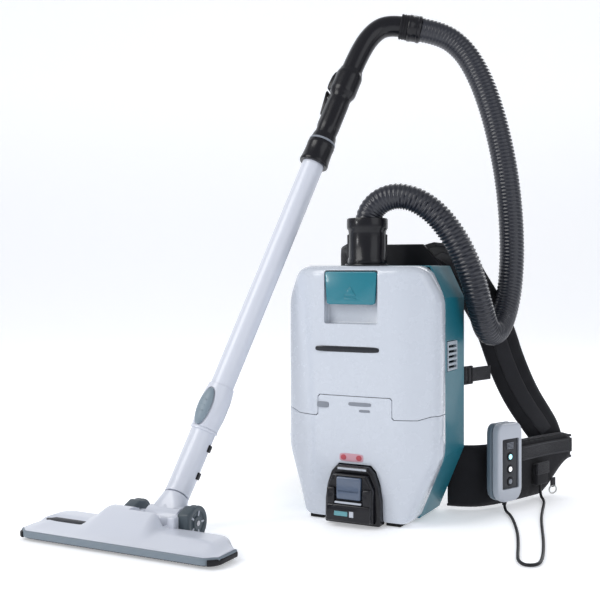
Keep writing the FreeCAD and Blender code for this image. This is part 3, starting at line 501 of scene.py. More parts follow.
def frame_along(origin, direction, sideways=Vector((1, 0, 0))):
    """Matrix whose Z runs along direction and whose X is close to sideways."""
    z = Vector(direction).normalized()
    x = (sideways - z * sideways.dot(z)).normalized()
    y = z.cross(x)
    turn = Matrix((x, y, z)).transposed().to_4x4()
    return Matrix.Translation(Vector(origin) * MM) @ turn


def along_frames(points, side=None):
    """Tangent and two normals at each point, carried along without twist, or held to a side."""
    frames = []
    normal = None
    for index, point in enumerate(points):
        before = points[max(index - 1, 0)]
        after = points[min(index + 1, len(points) - 1)]
        tangent = (after - before).normalized()
        if side is not None:
            reference = side[index]
        elif normal is None:
            reference = Vector((0, 1, 0)) if abs(tangent.y) < 0.9 else Vector((1, 0, 0))
        else:
            reference = normal
        normal = (reference - tangent * reference.dot(tangent)).normalized()
        frames.append((tangent, normal, tangent.cross(normal)))
    return frames


def sweep(name, points, ring, material, side=None, smooth_angle=60, capped=True):
    """Skin a tube. The ring is a section of (u, v) offsets in millimetres, or gives one at a distance."""
    frames = along_frames(points, side)
    verts = []
    distance = 0.0
    for index, (point, (_, u_axis, v_axis)) in enumerate(zip(points, frames)):
        if index:
            distance += (point - points[index - 1]).length / MM
        section = ring(distance) if callable(ring) else ring
        verts += [point + (u_axis * u + v_axis * v) * MM for u, v in section]
    faces = tube_faces(len(points), len(section), capped)
    return mesh_from(name, verts, faces, material, smooth_angle)


def around_angles(segments):
    return [2 * math.pi * k / segments for k in range(segments)]


def round_section(radius, segments=32):
    return [(radius * math.cos(angle), radius * math.sin(angle)) for angle in around_angles(segments)]


def nurbs(name, route, bevel=0.0, resolution=24):
    """Smooth curve with the route's points as its control points."""
    data = bpy.data.curves.new(name, "CURVE")
    data.dimensions = "3D"
    data.resolution_u = resolution
    data.bevel_depth = bevel
    data.bevel_resolution = 6
    data.use_fill_caps = bevel > 0
    spline = data.splines.new("NURBS")
    spline.points.add(len(route) - 1)
    for control, point in zip(spline.points, route):
        control.co = (*point, 1)
    spline.order_u = 3
    spline.use_endpoint_u = True
    thing = bpy.data.objects.new(name, data)
    bpy.context.scene.collection.objects.link(thing)
    return thing


def points_on(route, resolution=24):
    """Points along the smooth curve of a route."""
    guide = nurbs("guide", route, 0.0, resolution)
    graph = bpy.context.evaluated_depsgraph_get()
    mesh = bpy.data.meshes.new_from_object(guide.evaluated_get(graph))
    points = [vertex.co.copy() for vertex in mesh.vertices]
    bpy.data.objects.remove(guide)
    return points


def evenly(points, step):
    """The same line with points at an even distance, in metres."""
    result = [points[0]]
    left = step
    for start, end in zip(points, points[1:]):
        length = (end - start).length
        at = 0.0
        while length - at >= left:
            at += left
            result.append(start.lerp(end, at / length))
            left = step
        left -= length - at
    if (result[-1] - points[-1]).length > step * 0.3:
        result.append(points[-1])
    return result


def settle(thing, body, slot, *replaced):
    """The piece rides on a body and may stand for CAD nodes, which are hidden. The slot argument is not
    used.
    """
    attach(thing, body)
    if replaced:
        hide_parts(*replaced)
    return thing


# ---------------------------------------------------------------- hose and cable
HOSE_ROUTE = [
    (-0.005, -0.005, 0.452), (-0.005, -0.005, 0.475), (0.005, -0.002, 0.495), (0.023, 0.003, 0.508),
    (0.047, 0.010, 0.512), (0.075, 0.018, 0.503), (0.105, 0.026, 0.479), (0.133, 0.034, 0.438),
    (0.153, 0.044, 0.388), (0.161, 0.062, 0.334), (0.162, 0.098, 0.290), (0.165, 0.150, 0.290),
    (0.171, 0.190, 0.338), (0.175, 0.199, 0.402), (0.174, 0.200, 0.468), (0.168, 0.198, 0.540),
    (0.156, 0.196, 0.610), (0.138, 0.193, 0.680), (0.117, 0.190, 0.735), (0.093, 0.184, 0.776),
    (0.0596, 0.1722, 0.8029), (0.0260, 0.1592, 0.8099),
]
CABLE_ROUTE = [
    (0.1848, 0.1159, 0.02), (0.1848, 0.1159, 0.0026), (0.203, 0.088, 0.0026), (0.224, 0.036, 0.0026),
    (0.244, -0.022, 0.0026), (0.26, -0.08, 0.0026), (0.272, -0.128, 0.0026), (0.28, -0.156, 0.0026),
    (0.294, -0.172, 0.0026), (0.309, -0.16, 0.0026), (0.306, -0.128, 0.0026), (0.296, -0.08, 0.0026),
    (0.282, -0.024, 0.0026), (0.266, 0.034, 0.0026), (0.251, 0.092, 0.0026), (0.24, 0.146, 0.0026),
    (0.232, 0.19, 0.0026), (0.225, 0.216, 0.0026), (0.2146, 0.2336, 0.006), (0.2146, 0.2336, 0.025),
]
CABLE_RADIUS = 0.0024
REMOTE_PLACE = Matrix.Translation(mm(184.8, 115.9, 0)) @ Matrix.Rotation(math.radians(65.4), 4, "Z")


def suction_hose():
    """Tube with a helical rib wound round it; the rib stands out more in the first half."""
    line = evenly(points_on(HOSE_ROUTE), 0.0011)
    around = 32
    pitch = 6.2
    radius_outside = 21

    def ring(distance):
        section = []
        depth = 1.2 + 1.3 * ease(distance, 60, 110) * (1 - ease(distance, 420, 520))
        for k, angle in enumerate(around_angles(around)):
            turn = 2 * math.pi * (distance / pitch + k / around)
            radius = radius_outside - depth * (1 - (0.5 + 0.5 * math.cos(turn)) ** 0.7)
            section.append((radius * math.cos(angle), radius * math.sin(angle)))
        return section

    hose = sweep("hose_ribbed", line, ring, HOSE, smooth_angle=70)
    settle(hose, "vacuum", "hose_grey", "suction_hose")


def remote_cable():
    relief = lathe("cable_relief", [
        (2.5, 11), (3.4, 11), (3.5, 12), (2.9, 12.3), (3.0, 12.9), (3.9, 13.2), (4.0, 14.2), (3.3, 14.5),
        (3.4, 15.1), (4.5, 15.4), (4.6, 16.5), (3.9, 16.8), (4.0, 17.4), (5.2, 17.7), (5.6, 20.2),
        (2.5, 20.2),
    ], REMOTE_PLACE, CABLE, 32)
    settle(relief, "vacuum", "rubber", "strain_relief")
    cable = nurbs("cable_line", CABLE_ROUTE, CABLE_RADIUS)
    cable.data.materials.append(CABLE)
    settle(cable, "vacuum", "cable_rubber", "remote_cable")


# ---------------------------------------------------------------- body
FACE_Y = -68.0
PARTING_Y = -13.4
CREASE_X = 76.0
SIDE_SLOPE = 26.0 / 53.0
BODY_TOP = 399.5
BODY_BASE = 6.0
WIDTHS = [(6, 87), (107, 129), (350, 129), (400, 105)]
BAY_X = 2.0
PORT_PLACE = Matrix.Translation(mm(-5, -5, 0))


def about_bay(points):
    """Outline given from the middle of the battery bay, moved to its place."""
    return [(BAY_X + x, z) for x, z in points]


def half_width(z):
    """Half width of the body at a height, its corners eased over a short span."""
    def straight(height):
        for (z0, w0), (z1, w1) in zip(WIDTHS, WIDTHS[1:]):
            if height <= z1:
                return w0 + (w1 - w0) * (max(height, z0) - z0) / (z1 - z0)
        return WIDTHS[-1][1]

    reach = 13
    samples = [straight(z + reach * k / 4) for k in range(-4, 5)]
    eased = sum(samples) / len(samples)
    return min(eased, straight(z) + 0.01)


def rounded_line(corners, radii, steps):
    """Open polyline with curved corners."""
    line = [corners[0]]
    for before, corner, after, radius in zip(corners, corners[1:], corners[2:], radii):
        start = corner + (before - corner).normalized() * min(radius, (before - corner).length * 0.48)
        end = corner + (after - corner).normalized() * min(radius, (after - corner).length * 0.48)
        for step in range(steps + 1):
            t = step / steps
            line.append(start * (1 - t) ** 2 + corner * 2 * t * (1 - t) + end * t * t)
    line.append(corners[-1])
    return line


def front_section(width, inset):
    """Plan of the white front at one height, from the left parting edge to the right one."""
    face = FACE_Y + inset
    wide = width - inset
    crease = min(CREASE_X - 0.4 * inset, wide - 7)
    side = face + (wide - crease) * SIDE_SLOPE
    corners = [Vector((-wide, PARTING_Y)), Vector((-wide, side)), Vector((-crease, face)),
               Vector((crease, face)), Vector((wide, side)), Vector((wide, PARTING_Y))]
    line = rounded_line(corners, [15, 20, 20, 15], 6)
    middle = len(line) // 2
    left, right = line[:middle], line[middle:]
    span = [left[-1].lerp(right[0], k / 12) for k in range(1, 12)]
    crown = [Vector((p.x, p.y - 1.6 * (1 - (p.x / crease) ** 2))) for p in span]
    return left + crown + right


def white_shell(name):
    """Hollow front of the body, open at the parting plane."""
    top_round, base_round = 15.0, 9.0
    rows = []
    for step in range(7):
        angle = math.pi / 2 * step / 6
        rows.append((BODY_BASE + base_round * (1 - math.cos(angle)), base_round * (1 - math.sin(angle))))
    z = BODY_BASE + base_round + 6
    while z < BODY_TOP - top_round - 3:
        rows.append((z, 0.0))
        z += 6.5
    for step in range(8):
        angle = math.pi / 2 * step / 7
        rows.append((BODY_TOP - top_round * (1 - math.sin(angle)), top_round * (1 - math.cos(angle))))
    verts = []
    lowest = front_section(half_width(rows[0][0]), rows[0][1])
    verts += [mm(p.x, PARTING_Y, rows[0][0]) for p in lowest]
    for height, inset in rows:
        verts += [mm(p.x, p.y, height) for p in front_section(half_width(height), inset)]
    highest = front_section(half_width(rows[-1][0]), rows[-1][1])
    verts += [mm(p.x, PARTING_Y, rows[-1][0]) for p in highest]
    count = len(lowest)
    starts = [row * count + column for row in range(len(rows) + 1) for column in range(count - 1)]
    faces = [[low, low + 1, low + 1 + count, low + count] for low in starts]
    mesh = bpy.data.meshes.new(name)
    mesh.from_pydata([tuple(v) for v in verts], [], faces)
    tidy = bmesh.new()
    tidy.from_mesh(mesh)
    bmesh.ops.remove_doubles(tidy, verts=tidy.verts, dist=2e-5)
    bmesh.ops.dissolve_degenerate(tidy, edges=tidy.edges, dist=1e-5)
    bmesh.ops.recalc_face_normals(tidy, faces=tidy.faces)
    front = min(tidy.faces, key=lambda face: face.calc_center_median().y)
    if front.normal.y > 0:
        bmesh.ops.reverse_faces(tidy, faces=tidy.faces)
    tidy.to_mesh(mesh)
    tidy.free()
    shell = link_mesh(name, mesh, WHITE, 40)
    wall = shell.modifiers.new("wall", "SOLIDIFY")
    wall.thickness = 3 * MM
    wall.offset = -1
    return baked(shell, 40)


def seam_outline(shift, top):
    """Stepped seam across the front: lower cover below it, lid above it."""
    tab_x = 62 + shift
    line = [(-150, 172 + shift), (-118, 170 + shift), (-100, 164.2 + shift), (-tab_x - 3, 164 + shift),
            (-tab_x, 167 + shift), (-tab_x, 194 + shift), (-tab_x + 3, 197 + shift)]
    line += [(-x, z) for x, z in reversed(line)]
    end = 420 if top else -20
    return line + [(150, end), (-150, end)]


def body_front():
    lid = white_shell("lid_shell")
    boolean(lid, prism("tool", seam_outline(1.0, True), "Y", -100, 10, WHITE, 0), "INTERSECT")
    tray = block("tool", (-55, 43), (-64, -49), (305.5, 396), WHITE, 1.5)
    boolean(lid, tray, "UNION")
    boolean(lid, block("tool", (-51.4, 39.4), (-90, -53), (309, 392.6), WHITE, 3.5))
    port_notch = prism("tool", oval_outline((-5, -5), 36, 36), "Z", 360, 420, WHITE, 0)
    boolean(lid, port_notch)
    with_bevel(lid, 0.7, 2, 50)
    settle(lid, "lid", "casing_white", "front_lid")

    cover = white_shell("lower_cover_shell")
    boolean(cover, prism("tool", seam_outline(0.0, False), "Y", -100, 10, WHITE, 0), "INTERSECT")
    mouth = about_bay(both_sides([(47, -5), (46, 42), (42.5, 64), (35.5, 84), (27, 93)]))
    boolean(cover, prism("tool", mouth, "Y", -100, 10, WHITE, 0))
    with_bevel(cover, 0.7, 2, 50)
    settle(cover, "vacuum", "casing_white", "lower_front_cover")

    for sign in (-1, 1):
        knuckle = lathe("hip_boss", [(0, -21), (4, -20), (6.5, -14), (7.2, 0), (6.5, 14), (4, 20), (0, 21)],
                        Matrix.Translation(mm(sign * 124.2, -29, 124)), WHITE, 32)
        settle(knuckle, "vacuum", "casing_white")
    cover_marks()


def cover_marks():
    """Plain moulded marks where the real cover is printed."""
    marks = [
        ("mark_bar", (-66, 42), (265.5, 274.5), BADGE_DARK, "lid"),
        ("mark_left", (-63, -43), (177.5, 186.5), BADGE_GREY, "vacuum"),
        ("mark_right", (-9, 29), (182.5, 188.5), BADGE_GREY, "vacuum"),
        ("mark_small", (9, 27), (173.5, 177.5), BADGE_GREY, "vacuum"),
    ]
    for name, x, z, material, body in marks:
        middle, half_u, half_v = (sum(x) / 2, sum(z) / 2), (x[1] - x[0]) / 2, (z[1] - z[0]) / 2
        outline = oval_outline(middle, half_u, half_v, 48, 5.0)
        plate = prism(name, outline, "Y", -70.1, -66.5, material, 0.25, 2)
        settle(plate, body, "black_plastic")
    badge = prism("mark_badge", oval_outline((-4, 102.5), 20, 6.2, 48, 5.0), "Y", -70.2, -66.5,
                  BADGE_PINK, 0.25, 2)
    settle(badge, "vacuum", "casing_white")
    for x in (-17, 9):
        dot = prism("badge_dot", oval_outline((x, 102.5), 4.6, 4.2, 32), "Y", -70.8, -69, BADGE_RED, 0.3, 2)
        settle(dot, "vacuum", "casing_white")


def latch():
    outline = [(-49.5, 388), (-48, 390.5), (35.5, 390.5), (38, 388), (35, 342), (32, 339.5), (-43.5, 339.5),
               (-46.5, 342)]
    plate = prism("latch_plate", outline, "Y", -70.4, -64.6, LATCH_TEAL, 1.6, 4)
    arrow = prism("tool", [(-16, 353), (4, 353), (-6, 367)], "Y", -71.2, -69.6, LATCH_TEAL, 0.5, 2)
    boolean(plate, arrow, "UNION")
    bar = block("tool", (-16, 4), (-71.1, -69.6), (347, 349.6), LATCH_TEAL, 0.4)
    boolean(plate, bar, "UNION")
    knuckle = block("tool", (-45, 33), (-66, -57.5), (379.5, 390), LATCH_TEAL, 1.5)
    boolean(plate, knuckle, "UNION")
    settle(plate, "latch", "latch_teal", "lid_latch")


def battery_outline(spread):
    side, low, high = 38 + spread, 8 - spread, 80 + spread
    return about_bay(both_sides([(side, low), (side, 58), (28, high)]))


def bay_and_battery():
    arch = about_bay(both_sides([(46.3, 2.4), (45.6, 40), (42.2, 62), (35.2, 82), (26.5, 91.4)]))
    bezel = prism("bay_bezel", arch, "Y", -81, -60, BLACK, 3.2, 4)
    tunnel_outline = about_bay(both_sides([(43, 4.5), (43, 60), (32, 85)]))
    tunnel = prism("tool", tunnel_outline, "Y", -62, 24, BLACK, 0)
    boolean(bezel, tunnel, "UNION")
    boolean(bezel, prism("tool", battery_outline(0.8), "Y", -90, 20.6, BLACK, 0))
    with_bevel(bezel, 0.6, 2, 45)
    settle(bezel, "vacuum", "black_plastic", "battery_bay")
    lip = block("bay_lip", (BAY_X - 24, BAY_X + 24), (-82.4, -79.5), (85.4, 88.6), PALE_GREY, 0.7)
    settle(lip, "vacuum", "grey_plastic")

    pack = prism("battery_case", battery_outline(0), "Y", -91, 20, BLACK, 2.2, 3)
    for left, right, front, z in ((-36.5, 36.5, -98, (9.2, 35.5)), (-36.5, -23, -96, (33, 60)),
                                  (23, 36.5, -96, (33, 60))):
        boolean(pack, block("tool", (BAY_X + left, BAY_X + right), (front, -88), z, BLACK, 2.6), "UNION")
    boolean(pack, block("tool", (BAY_X - 21.2, BAY_X + 21.2), (-110, -83.5), (41.6, 77.5), BLACK, 1.5))
    settle(pack, "battery", "black_plastic", "battery_pack")
    ledge = block("battery_ledge", (BAY_X - 22, BAY_X + 22), (-97.4, -94), (36.6, 39.6), PALE_GREY, 0.8)
    settle(ledge, "battery", "grey_plastic")
    label = block("battery_label", (BAY_X - 22, BAY_X), (-98.7, -96), (18, 25), BADGE_TEAL, 0.5)
    settle(label, "battery", "casing_teal")
    gauge = block("battery_gauge", (BAY_X + 3, BAY_X + 10), (-98.7, -96), (17, 26), PALE_GREY, 0.6)
    settle(gauge, "battery", "light_grey_plastic")
    button = block("battery_release", (BAY_X - 20.2, BAY_X + 20.2), (-95.5, -87.4), (42.6, 76.6), INSET,
                   2.4, 4)
    groove = block("tool", (BAY_X - 17, BAY_X + 17), (-97, -94.6), (54.6, 56.4), INSET, 0)
    boolean(button, groove)
    settle(button, "battery_release", "grey_plastic", "battery_button")


def inlet():
    port = lathe("inlet_collar", [
        (23.4, 360), (26.4, 360), (26.4, 382), (32, 384), (32, 399.6), (35.4, 400.2), (36, 401.2),
        (35.4, 402.6), (33.6, 403), (29, 403), (29, 386), (23.4, 386),
    ], PORT_PLACE, BLACK)
    settle(port, "vacuum", "black_plastic", "inlet_port")
    cuff = lathe("swivel_cuff", [
        (23.4, 388), (28.7, 388), (28.7, 403.3), (31, 403.6), (31.4, 405), (31.2, 410), (30.4, 411),
        (30.2, 452), (30.6, 456), (32.6, 459), (33, 461), (33, 473), (32.2, 475.4), (30.5, 476), (25.4, 476),
        (24.2, 474), (22.6, 462), (22.4, 452), (23.4, 451.6),
    ], PORT_PLACE, BLACK)
    settle(cuff, "cuff", "black_plastic", "inlet_cuff")
    for angle in (20, 200):
        turn = PORT_PLACE @ Matrix.Rotation(math.radians(angle), 4, "Z")
        rib = block("cuff_rib", (29, 32.2), (-3, 3), (413, 450), BLACK, 1.2, 3, turn)
        settle(rib, "cuff", "black_plastic")


# ---------------------------------------------------------------- wand and handle
BEND = Vector((-219, -216, 70))
WAND_TOP = Vector((-111, 12.3, 568.4))
WAND_AXIS = (WAND_TOP - BEND).normalized()
WAND_PLACE = frame_along(BEND, WAND_AXIS)
GRIP_END = Vector((-8, 146, 817))
GRIP_DIRECTION = Vector((33.5, 13, -7)).normalized()
GRIP_PLACE = frame_along(GRIP_END, GRIP_DIRECTION)


def on_wand(distance):
    return BEND + WAND_AXIS * distance


def wand():
    pipe = lathe("wand_tube", [(16, 118), (18.5, 118), (18.5, 585), (16, 585)], WAND_PLACE, WAND_WHITE)
    settle(pipe, "vacuum", "casing_white", "wand_pipe")
    socket = lathe("wand_socket_shell", [
        (16, 88), (20.2, 88), (21, 89), (21.3, 94), (22.4, 104), (23, 110), (23, 136), (22.6, 142),
        (20.8, 155), (20.2, 158), (18.6, 158.4), (18.5, 118), (16, 118),
    ], WAND_PLACE, WAND_WHITE)
    facing = Matrix.Rotation(math.radians(-6), 4, "Z")
    middle = 119
    seat = prism("tool", oval_outline((0, middle), 13.5, 31.5, 48, 2.3), "Y", -40, -18.7, WAND_WHITE, 0)
    seat.data.transform(WAND_PLACE @ facing)
    boolean(socket, seat)
    settle(socket, "vacuum", "casing_white", "wand_socket")
    button = dome_button("release_pad", middle, facing)
    settle(button, "wand_release", "grey_plastic", "wand_release_button")
    # Dark blocks on the right side of the lower wand at two joints: painted shade where the joint rings turn
    # away from the light.
    joint_shade_place = WAND_PLACE @ Matrix.Rotation(math.radians(15), 4, "Z")
    for low in (56, 12):
        joint_shade_block = block("elbow_joint_shade", (17.6, 21.8), (-5.5, 5.5), (low, low + 11), SATIN_BLACK, 1.3, 3,
                     joint_shade_place)
        settle(joint_shade_block, "vacuum", "black_plastic")
    ring = lathe("elbow_ring", [(19, 84), (21.4, 84), (21.8, 85.5), (21.8, 87), (21.2, 88), (19, 88)],
                 WAND_PLACE, WAND_WHITE)
    settle(ring, "vacuum", "casing_white")


def dome_button(name, middle, facing):
    """Long oval pad, domed outward, with three grip ribs."""
    rings, around = 9, 48
    half_wide, half_tall, base_y, dome = 12.4, 30, -20.9, 7.2
    verts = []
    for row in range(rings):
        slope = row / (rings - 1) * math.pi / 2 * 0.97
        scale = math.cos(slope)
        verts += [mm(half_wide * scale * math.cos(angle), base_y - dome * math.sin(slope),
                     middle + half_tall * scale * math.sin(angle)) for angle in around_angles(around)]
    pad = mesh_from(name, verts, tube_faces(rings, around), OVAL_GREY, 50)
    for height in (middle - 9, middle, middle + 9):
        rib = block("tool", (-5, 5), (-28.3, -24), (height - 0.9, height + 0.9), OVAL_GREY, 0.5)
        boolean(pad, rib, "UNION")
    pad.data.transform(WAND_PLACE @ facing)
    return pad


def ridged_tube(name, low, high, radius_at, material, step=3.0, around=60):
    """Tube on the wand's axis whose radius depends on height and angle."""
    count = max(2, int((high - low) / step) + 1)
    heights = [low + (high - low) * k / (count - 1) for k in range(count)]
    verts = []
    for height in heights:
        for angle in around_angles(around):
            radius = radius_at(height, angle)
            verts.append(WAND_PLACE @ mm(radius * math.cos(angle), radius * math.sin(angle), height))
    return mesh_from(name, verts, tube_faces(count, around), material, 45)


def handle():
    coupler = lathe("coupler_bell", [
        (18.6, 559.4), (23.6, 559.4), (24.6, 560.6), (24.8, 564), (24.2, 566), (23.2, 580), (22.9, 590),
        (23.3, 592), (23.3, 597), (22.3, 599), (20.6, 611), (19.4, 616), (16, 616), (16, 586), (18.6, 585),
    ], WAND_PLACE, BLACK)
    settle(coupler, "vacuum", "black_plastic", "wand_coupler")
    stripe = lathe("coupler_stripe", [(22.2, 600.4), (22.9, 600.6), (22.5, 604), (21.6, 604.2)],
                   WAND_PLACE, BADGE_GREY)
    settle(stripe, "vacuum", "grey_plastic")

    def sleeve_radius(height, angle):
        flute = 1.3 * max(0.0, math.cos(3 * (angle + 0.55))) ** 3
        swell = 4.6 * ease(height, 688, 703) - 3.0 * ease(height, 733, 745)
        return 18.2 + (flute + 0.5) * ease(height, 622, 634) * (1 - ease(height, 676, 688)) + swell

    sleeve = ridged_tube("handle_grip", 616, 745, sleeve_radius, BLACK)
    settle(sleeve, "vacuum", "black_plastic", "handle_sleeve")
    lever_outline = [(-23.5, 654), (-22.5, 652), (-19.8, 652), (-19.5, 683), (-24.4, 689.4), (-25, 698),
                     (-27, 699.5), (-29.5, 697), (-27.5, 684)]
    lever = prism("lock_lever", lever_outline, "Y", -6.5, 6.5, BLACK, 1.6, 4, WAND_PLACE)
    settle(lever, "handle_lock", "black_plastic", "coupler_lever")
    boss_outline = [(-18, 700.6), (-28, 701.4), (-29, 712), (-28, 727), (-25, 736), (-16, 740)]
    boss = prism("lever_boss", boss_outline, "Y", -10, 10, BLACK, 3.0, 4, WAND_PLACE)
    settle(boss, "vacuum", "black_plastic")

    route = [on_wand(742), on_wand(774), Vector((-54, 121, 801)), GRIP_END - GRIP_DIRECTION * 23,
             GRIP_END + GRIP_DIRECTION * 6]
    line = evenly(points_on([tuple(p * MM) for p in route]), 0.002)
    grip = sweep("grip_tube", line, round_section(18), BLACK)
    settle(grip, "vacuum", "black_plastic", "grip_pipe")


def grip_fittings():
    """Air regulator ring and swivelling hose cuff at the end of the grip."""
    regulator = lathe("air_ring", [
        (17.9, 0.3), (21.2, 0.3), (22, 1.2), (22, 3.5), (21, 4), (21, 5.5), (22, 6), (22, 8), (21, 8.5),
        (21, 10), (22, 10.5), (22, 12.8), (21.2, 13.7), (17.9, 13.7),
    ], GRIP_PLACE, SATIN_BLACK)
    settle(regulator, "regulator", "black_plastic", "air_regulator")
    cuff = lathe("hose_cuff_shell", [
        (18, 14), (22.2, 14), (23.2, 15.2), (23.2, 20), (22.4, 21), (22.4, 30), (23.4, 31), (23.4, 35),
        (22.4, 36.6), (21, 37), (18, 37),
    ], GRIP_PLACE, BLACK)
    settle(cuff, "hose_cuff", "black_plastic", "hose_end_cuff")
    # Four pale grey bars on the cuff: painted highlight where light catches the regulator's slots.
    for angle in (200, 235, 270, 305):
        turn = GRIP_PLACE @ Matrix.Rotation(math.radians(angle), 4, "Z")
        slot = block("cuff_slot_highlight", (21.8, 23.0), (-1.6, 1.6), (22, 29), BADGE_GREY, 0.5, 2, turn)
        settle(slot, "hose_cuff", "grey_plastic")


# ---------------------------------------------------------------- floor nozzle
NOZZLE_LEFT, NOZZLE_RIGHT, NOZZLE_FRONT, NOZZLE_REAR = -400.0, -64.0, -374.0, -284.0
NECK_X, AXLE_Y, AXLE_Z = -219.0, -258.0, 25.0


def deck_depth(x):
    """Front and rear edge of the nozzle at x; the corners are cut and rounded."""
    end = min(x - NOZZLE_LEFT, NOZZLE_RIGHT - x)
    front = NOZZLE_FRONT + 13 * (1 - ease(end, -2, 17))
    rear = NOZZLE_REAR - 34 * (1 - ease(end, -8, 44))
    return front, rear


def deck_height(x, share):
    """Top surface of the nozzle: thin edge, slope to a low rear ridge, high flat middle."""
    end = min(x - NOZZLE_LEFT, NOZZLE_RIGHT - x)
    ridge = 16.5 + 8 * ease(end, 0, 30)
    slope = 15.5 + (ridge - 15.5) * ease(share, 0.02, 0.55)
    rear_drop = 4 * ease(share, 0.86, 1.0)
    hump = 23 * ease(x, -318, -284) * (1 - ease(x, -204, -184)) * ease(share, 0.16, 0.80)
    bank = 5 * ease(x, -398, -384) * (1 - ease(x, -318, -300)) * ease(share, 0.50, 0.62)
    return slope - rear_drop + hump + bank


def nozzle_cover():
    columns, across = 90, 26
    verts = []
    for i in range(columns + 1):
        x = NOZZLE_LEFT + (NOZZLE_RIGHT - NOZZLE_LEFT) * i / columns
        front, rear = deck_depth(x)
        verts.append(mm(x, front, 8.2))
        for j in range(across + 1):
            share = j / across
            verts.append(mm(x, front + (rear - front) * share, deck_height(x, share)))
        verts.append(mm(x, rear, 8.2))
    cover = mesh_from("nozzle_shell", verts, tube_faces(columns + 1, across + 3), WAND_WHITE, 50)
    boolean(cover, block("tool", (NECK_X - 29.5, NECK_X + 29.5), (-309, -230), (-5, 80), WAND_WHITE, 0))
    cheek_outline = [(-300, 9), (-249, 9), (-244, 17), (-245, 27), (-252, 34), (-265, 38), (-300, 40)]
    for low, high in ((-42, -29.4), (29.4, 42)):
        cheek = prism("tool", cheek_outline, "X", NECK_X + low, NECK_X + high, WAND_WHITE, 2.5, 3)
        boolean(cover, cheek, "UNION")
    with_bevel(cover, 1.4, 3, 40)
    settle(cover, "nozzle", "casing_white", "nozzle_top")


def nozzle_fittings():
    """Dark plate on the deck as painted shade of the slot in front of the raised step, and an arch over each
    wheel.
    """
    slot_shade_x, slot_shade_share = -343, 0.47
    # The dark plate is painted shade, standing in for the shaded slot at the front of the raised step.
    slot_shade = prism("deck_slot_shade", oval_outline((0, 0), 38, 5.2, 48, 5), "Z", -2, 1.0, BADGE_DARK, 0.4, 2)
    front, rear = deck_depth(slot_shade_x)
    slope = math.atan2(deck_height(slot_shade_x, slot_shade_share + 0.08) - deck_height(slot_shade_x, slot_shade_share - 0.08),
                       (rear - front) * 0.16)
    slot_shade.data.transform(Matrix.Translation(mm(slot_shade_x, front + (rear - front) * slot_shade_share,
                                               deck_height(slot_shade_x, slot_shade_share)))
                         @ Matrix.Rotation(slope, 4, "X"))
    settle(slot_shade, "nozzle", "black_plastic")
    arch_outline = [(-288, 12), (-247, 14), (-240, 24), (-243, 38), (-254, 48), (-268, 51), (-288, 43)]
    for sign in (-1, 1):
        wide = sorted(NECK_X + sign * x for x in (39, 59))
        room = sorted(NECK_X + sign * x for x in (41.5, 72))
        arch = prism("wheel_arch", arch_outline, "X", *wide, WHEEL, 3.0, 3)
        boolean(arch, prism("tool", oval_outline((AXLE_Y, AXLE_Z), 26.4, 26.4), "X", *room, WHEEL, 0))
        settle(arch, "nozzle", "grey_plastic")


def level_sides(line):
    """Sideways direction at each point of a line, held level."""
    last = len(line) - 1
    return [UP.cross((line[min(k + 1, last)] - line[max(k - 1, 0)]).normalized()) for k in range(last + 1)]


def nozzle_trim():
    steps = 60
    front_run = []
    for k in range(steps + 1):
        x = NOZZLE_LEFT + (NOZZLE_RIGHT - NOZZLE_LEFT) * k / steps
        front_run.append(mm(x, deck_depth(x)[0] - 0.6, 10))
    left_run = [mm(NOZZLE_LEFT - 0.6, y, 10) for y in (-318, -330, -342, -354)]
    right_run = [mm(NOZZLE_RIGHT + 0.6, y, 10) for y in (-354, -342, -330, -318)]
    line = left_run + front_run + right_run
    strip = sweep("bumper_strip", line, oval_outline((0, 0), 2.4, 5.0, 20, 3.0), GREY, level_sides(line))
    settle(strip, "nozzle", "grey_plastic", "nozzle_bumper")
    # Dark caps on both ends of the bumper: painted shade where the bumper's ends turn away from the light.
    for x, first in ((NOZZLE_RIGHT, -1), (NOZZLE_LEFT, 1)):
        corner = [mm(x - first * 0.9 + first * back, y, 8.6) for back, y in (
            (11, -374), (7.5, -372), (4, -368.5), (1.6, -364), (0, -358), (0, -345), (0, -332), (0, -318))]
        cap = sweep("bumper_end_shade", corner, oval_outline((0, 0), 2.8, 4.2, 20, 3.0), SATIN_BLACK,
                    level_sides(corner))
        settle(cap, "nozzle", "rubber")


def bristle_rows():
    """Two rows of tufts under the nozzle, each tuft a small leaning block."""
    spacing, tufts_in_row, corners = 2.12, 134, ((-1, -1), (1, -1), (1, 1), (-1, 1))
    tufts = bmesh.new()
    for y in (-361.5, -317.5):
        for k in range(tufts_in_row):
            x = NOZZLE_LEFT + 26 + spacing * k
            lean = 0.7 * math.sin(k * 2.4)
            low = [tufts.verts.new(mm(x + a * 0.8 + lean, y + b * 1.9 + lean, 0.1)) for a, b in corners]
            high = [tufts.verts.new(mm(x + a * 0.95, y + b * 2.3, 4.5)) for a, b in corners]
            tufts.faces.new(low[::-1])
            tufts.faces.new(high)
            for i in range(4):
                tufts.faces.new([low[i], low[(i + 1) % 4], high[(i + 1) % 4], high[i]])
    mesh = bpy.data.meshes.new("bristle_rows")
    tufts.to_mesh(mesh)
    tufts.free()
    settle(link_mesh("bristle_rows", mesh, BRISTLE), "nozzle", "bristle", "brush_strips")


def neck_fairing():
    """Flared shroud from the axle drum up to the round elbow."""
    axle = Vector((NECK_X, AXLE_Y, AXLE_Z))
    along = (BEND - axle).normalized()
    line = [(axle + along * distance) * MM for distance in range(4, 40, 3)]

    def flare(distance):
        share = ease(distance, 4, 34)
        return oval_outline((0, 0), 26.5 - 6.3 * share, 16.5 + 3.7 * share, 56, 3.6 - 1.6 * share)

    shroud = sweep("neck_shroud", line, flare, WAND_WHITE, [RIGHT] * len(line))
    with_bevel(shroud, 1.2, 3, 40)
    settle(shroud, "neck", "casing_white")


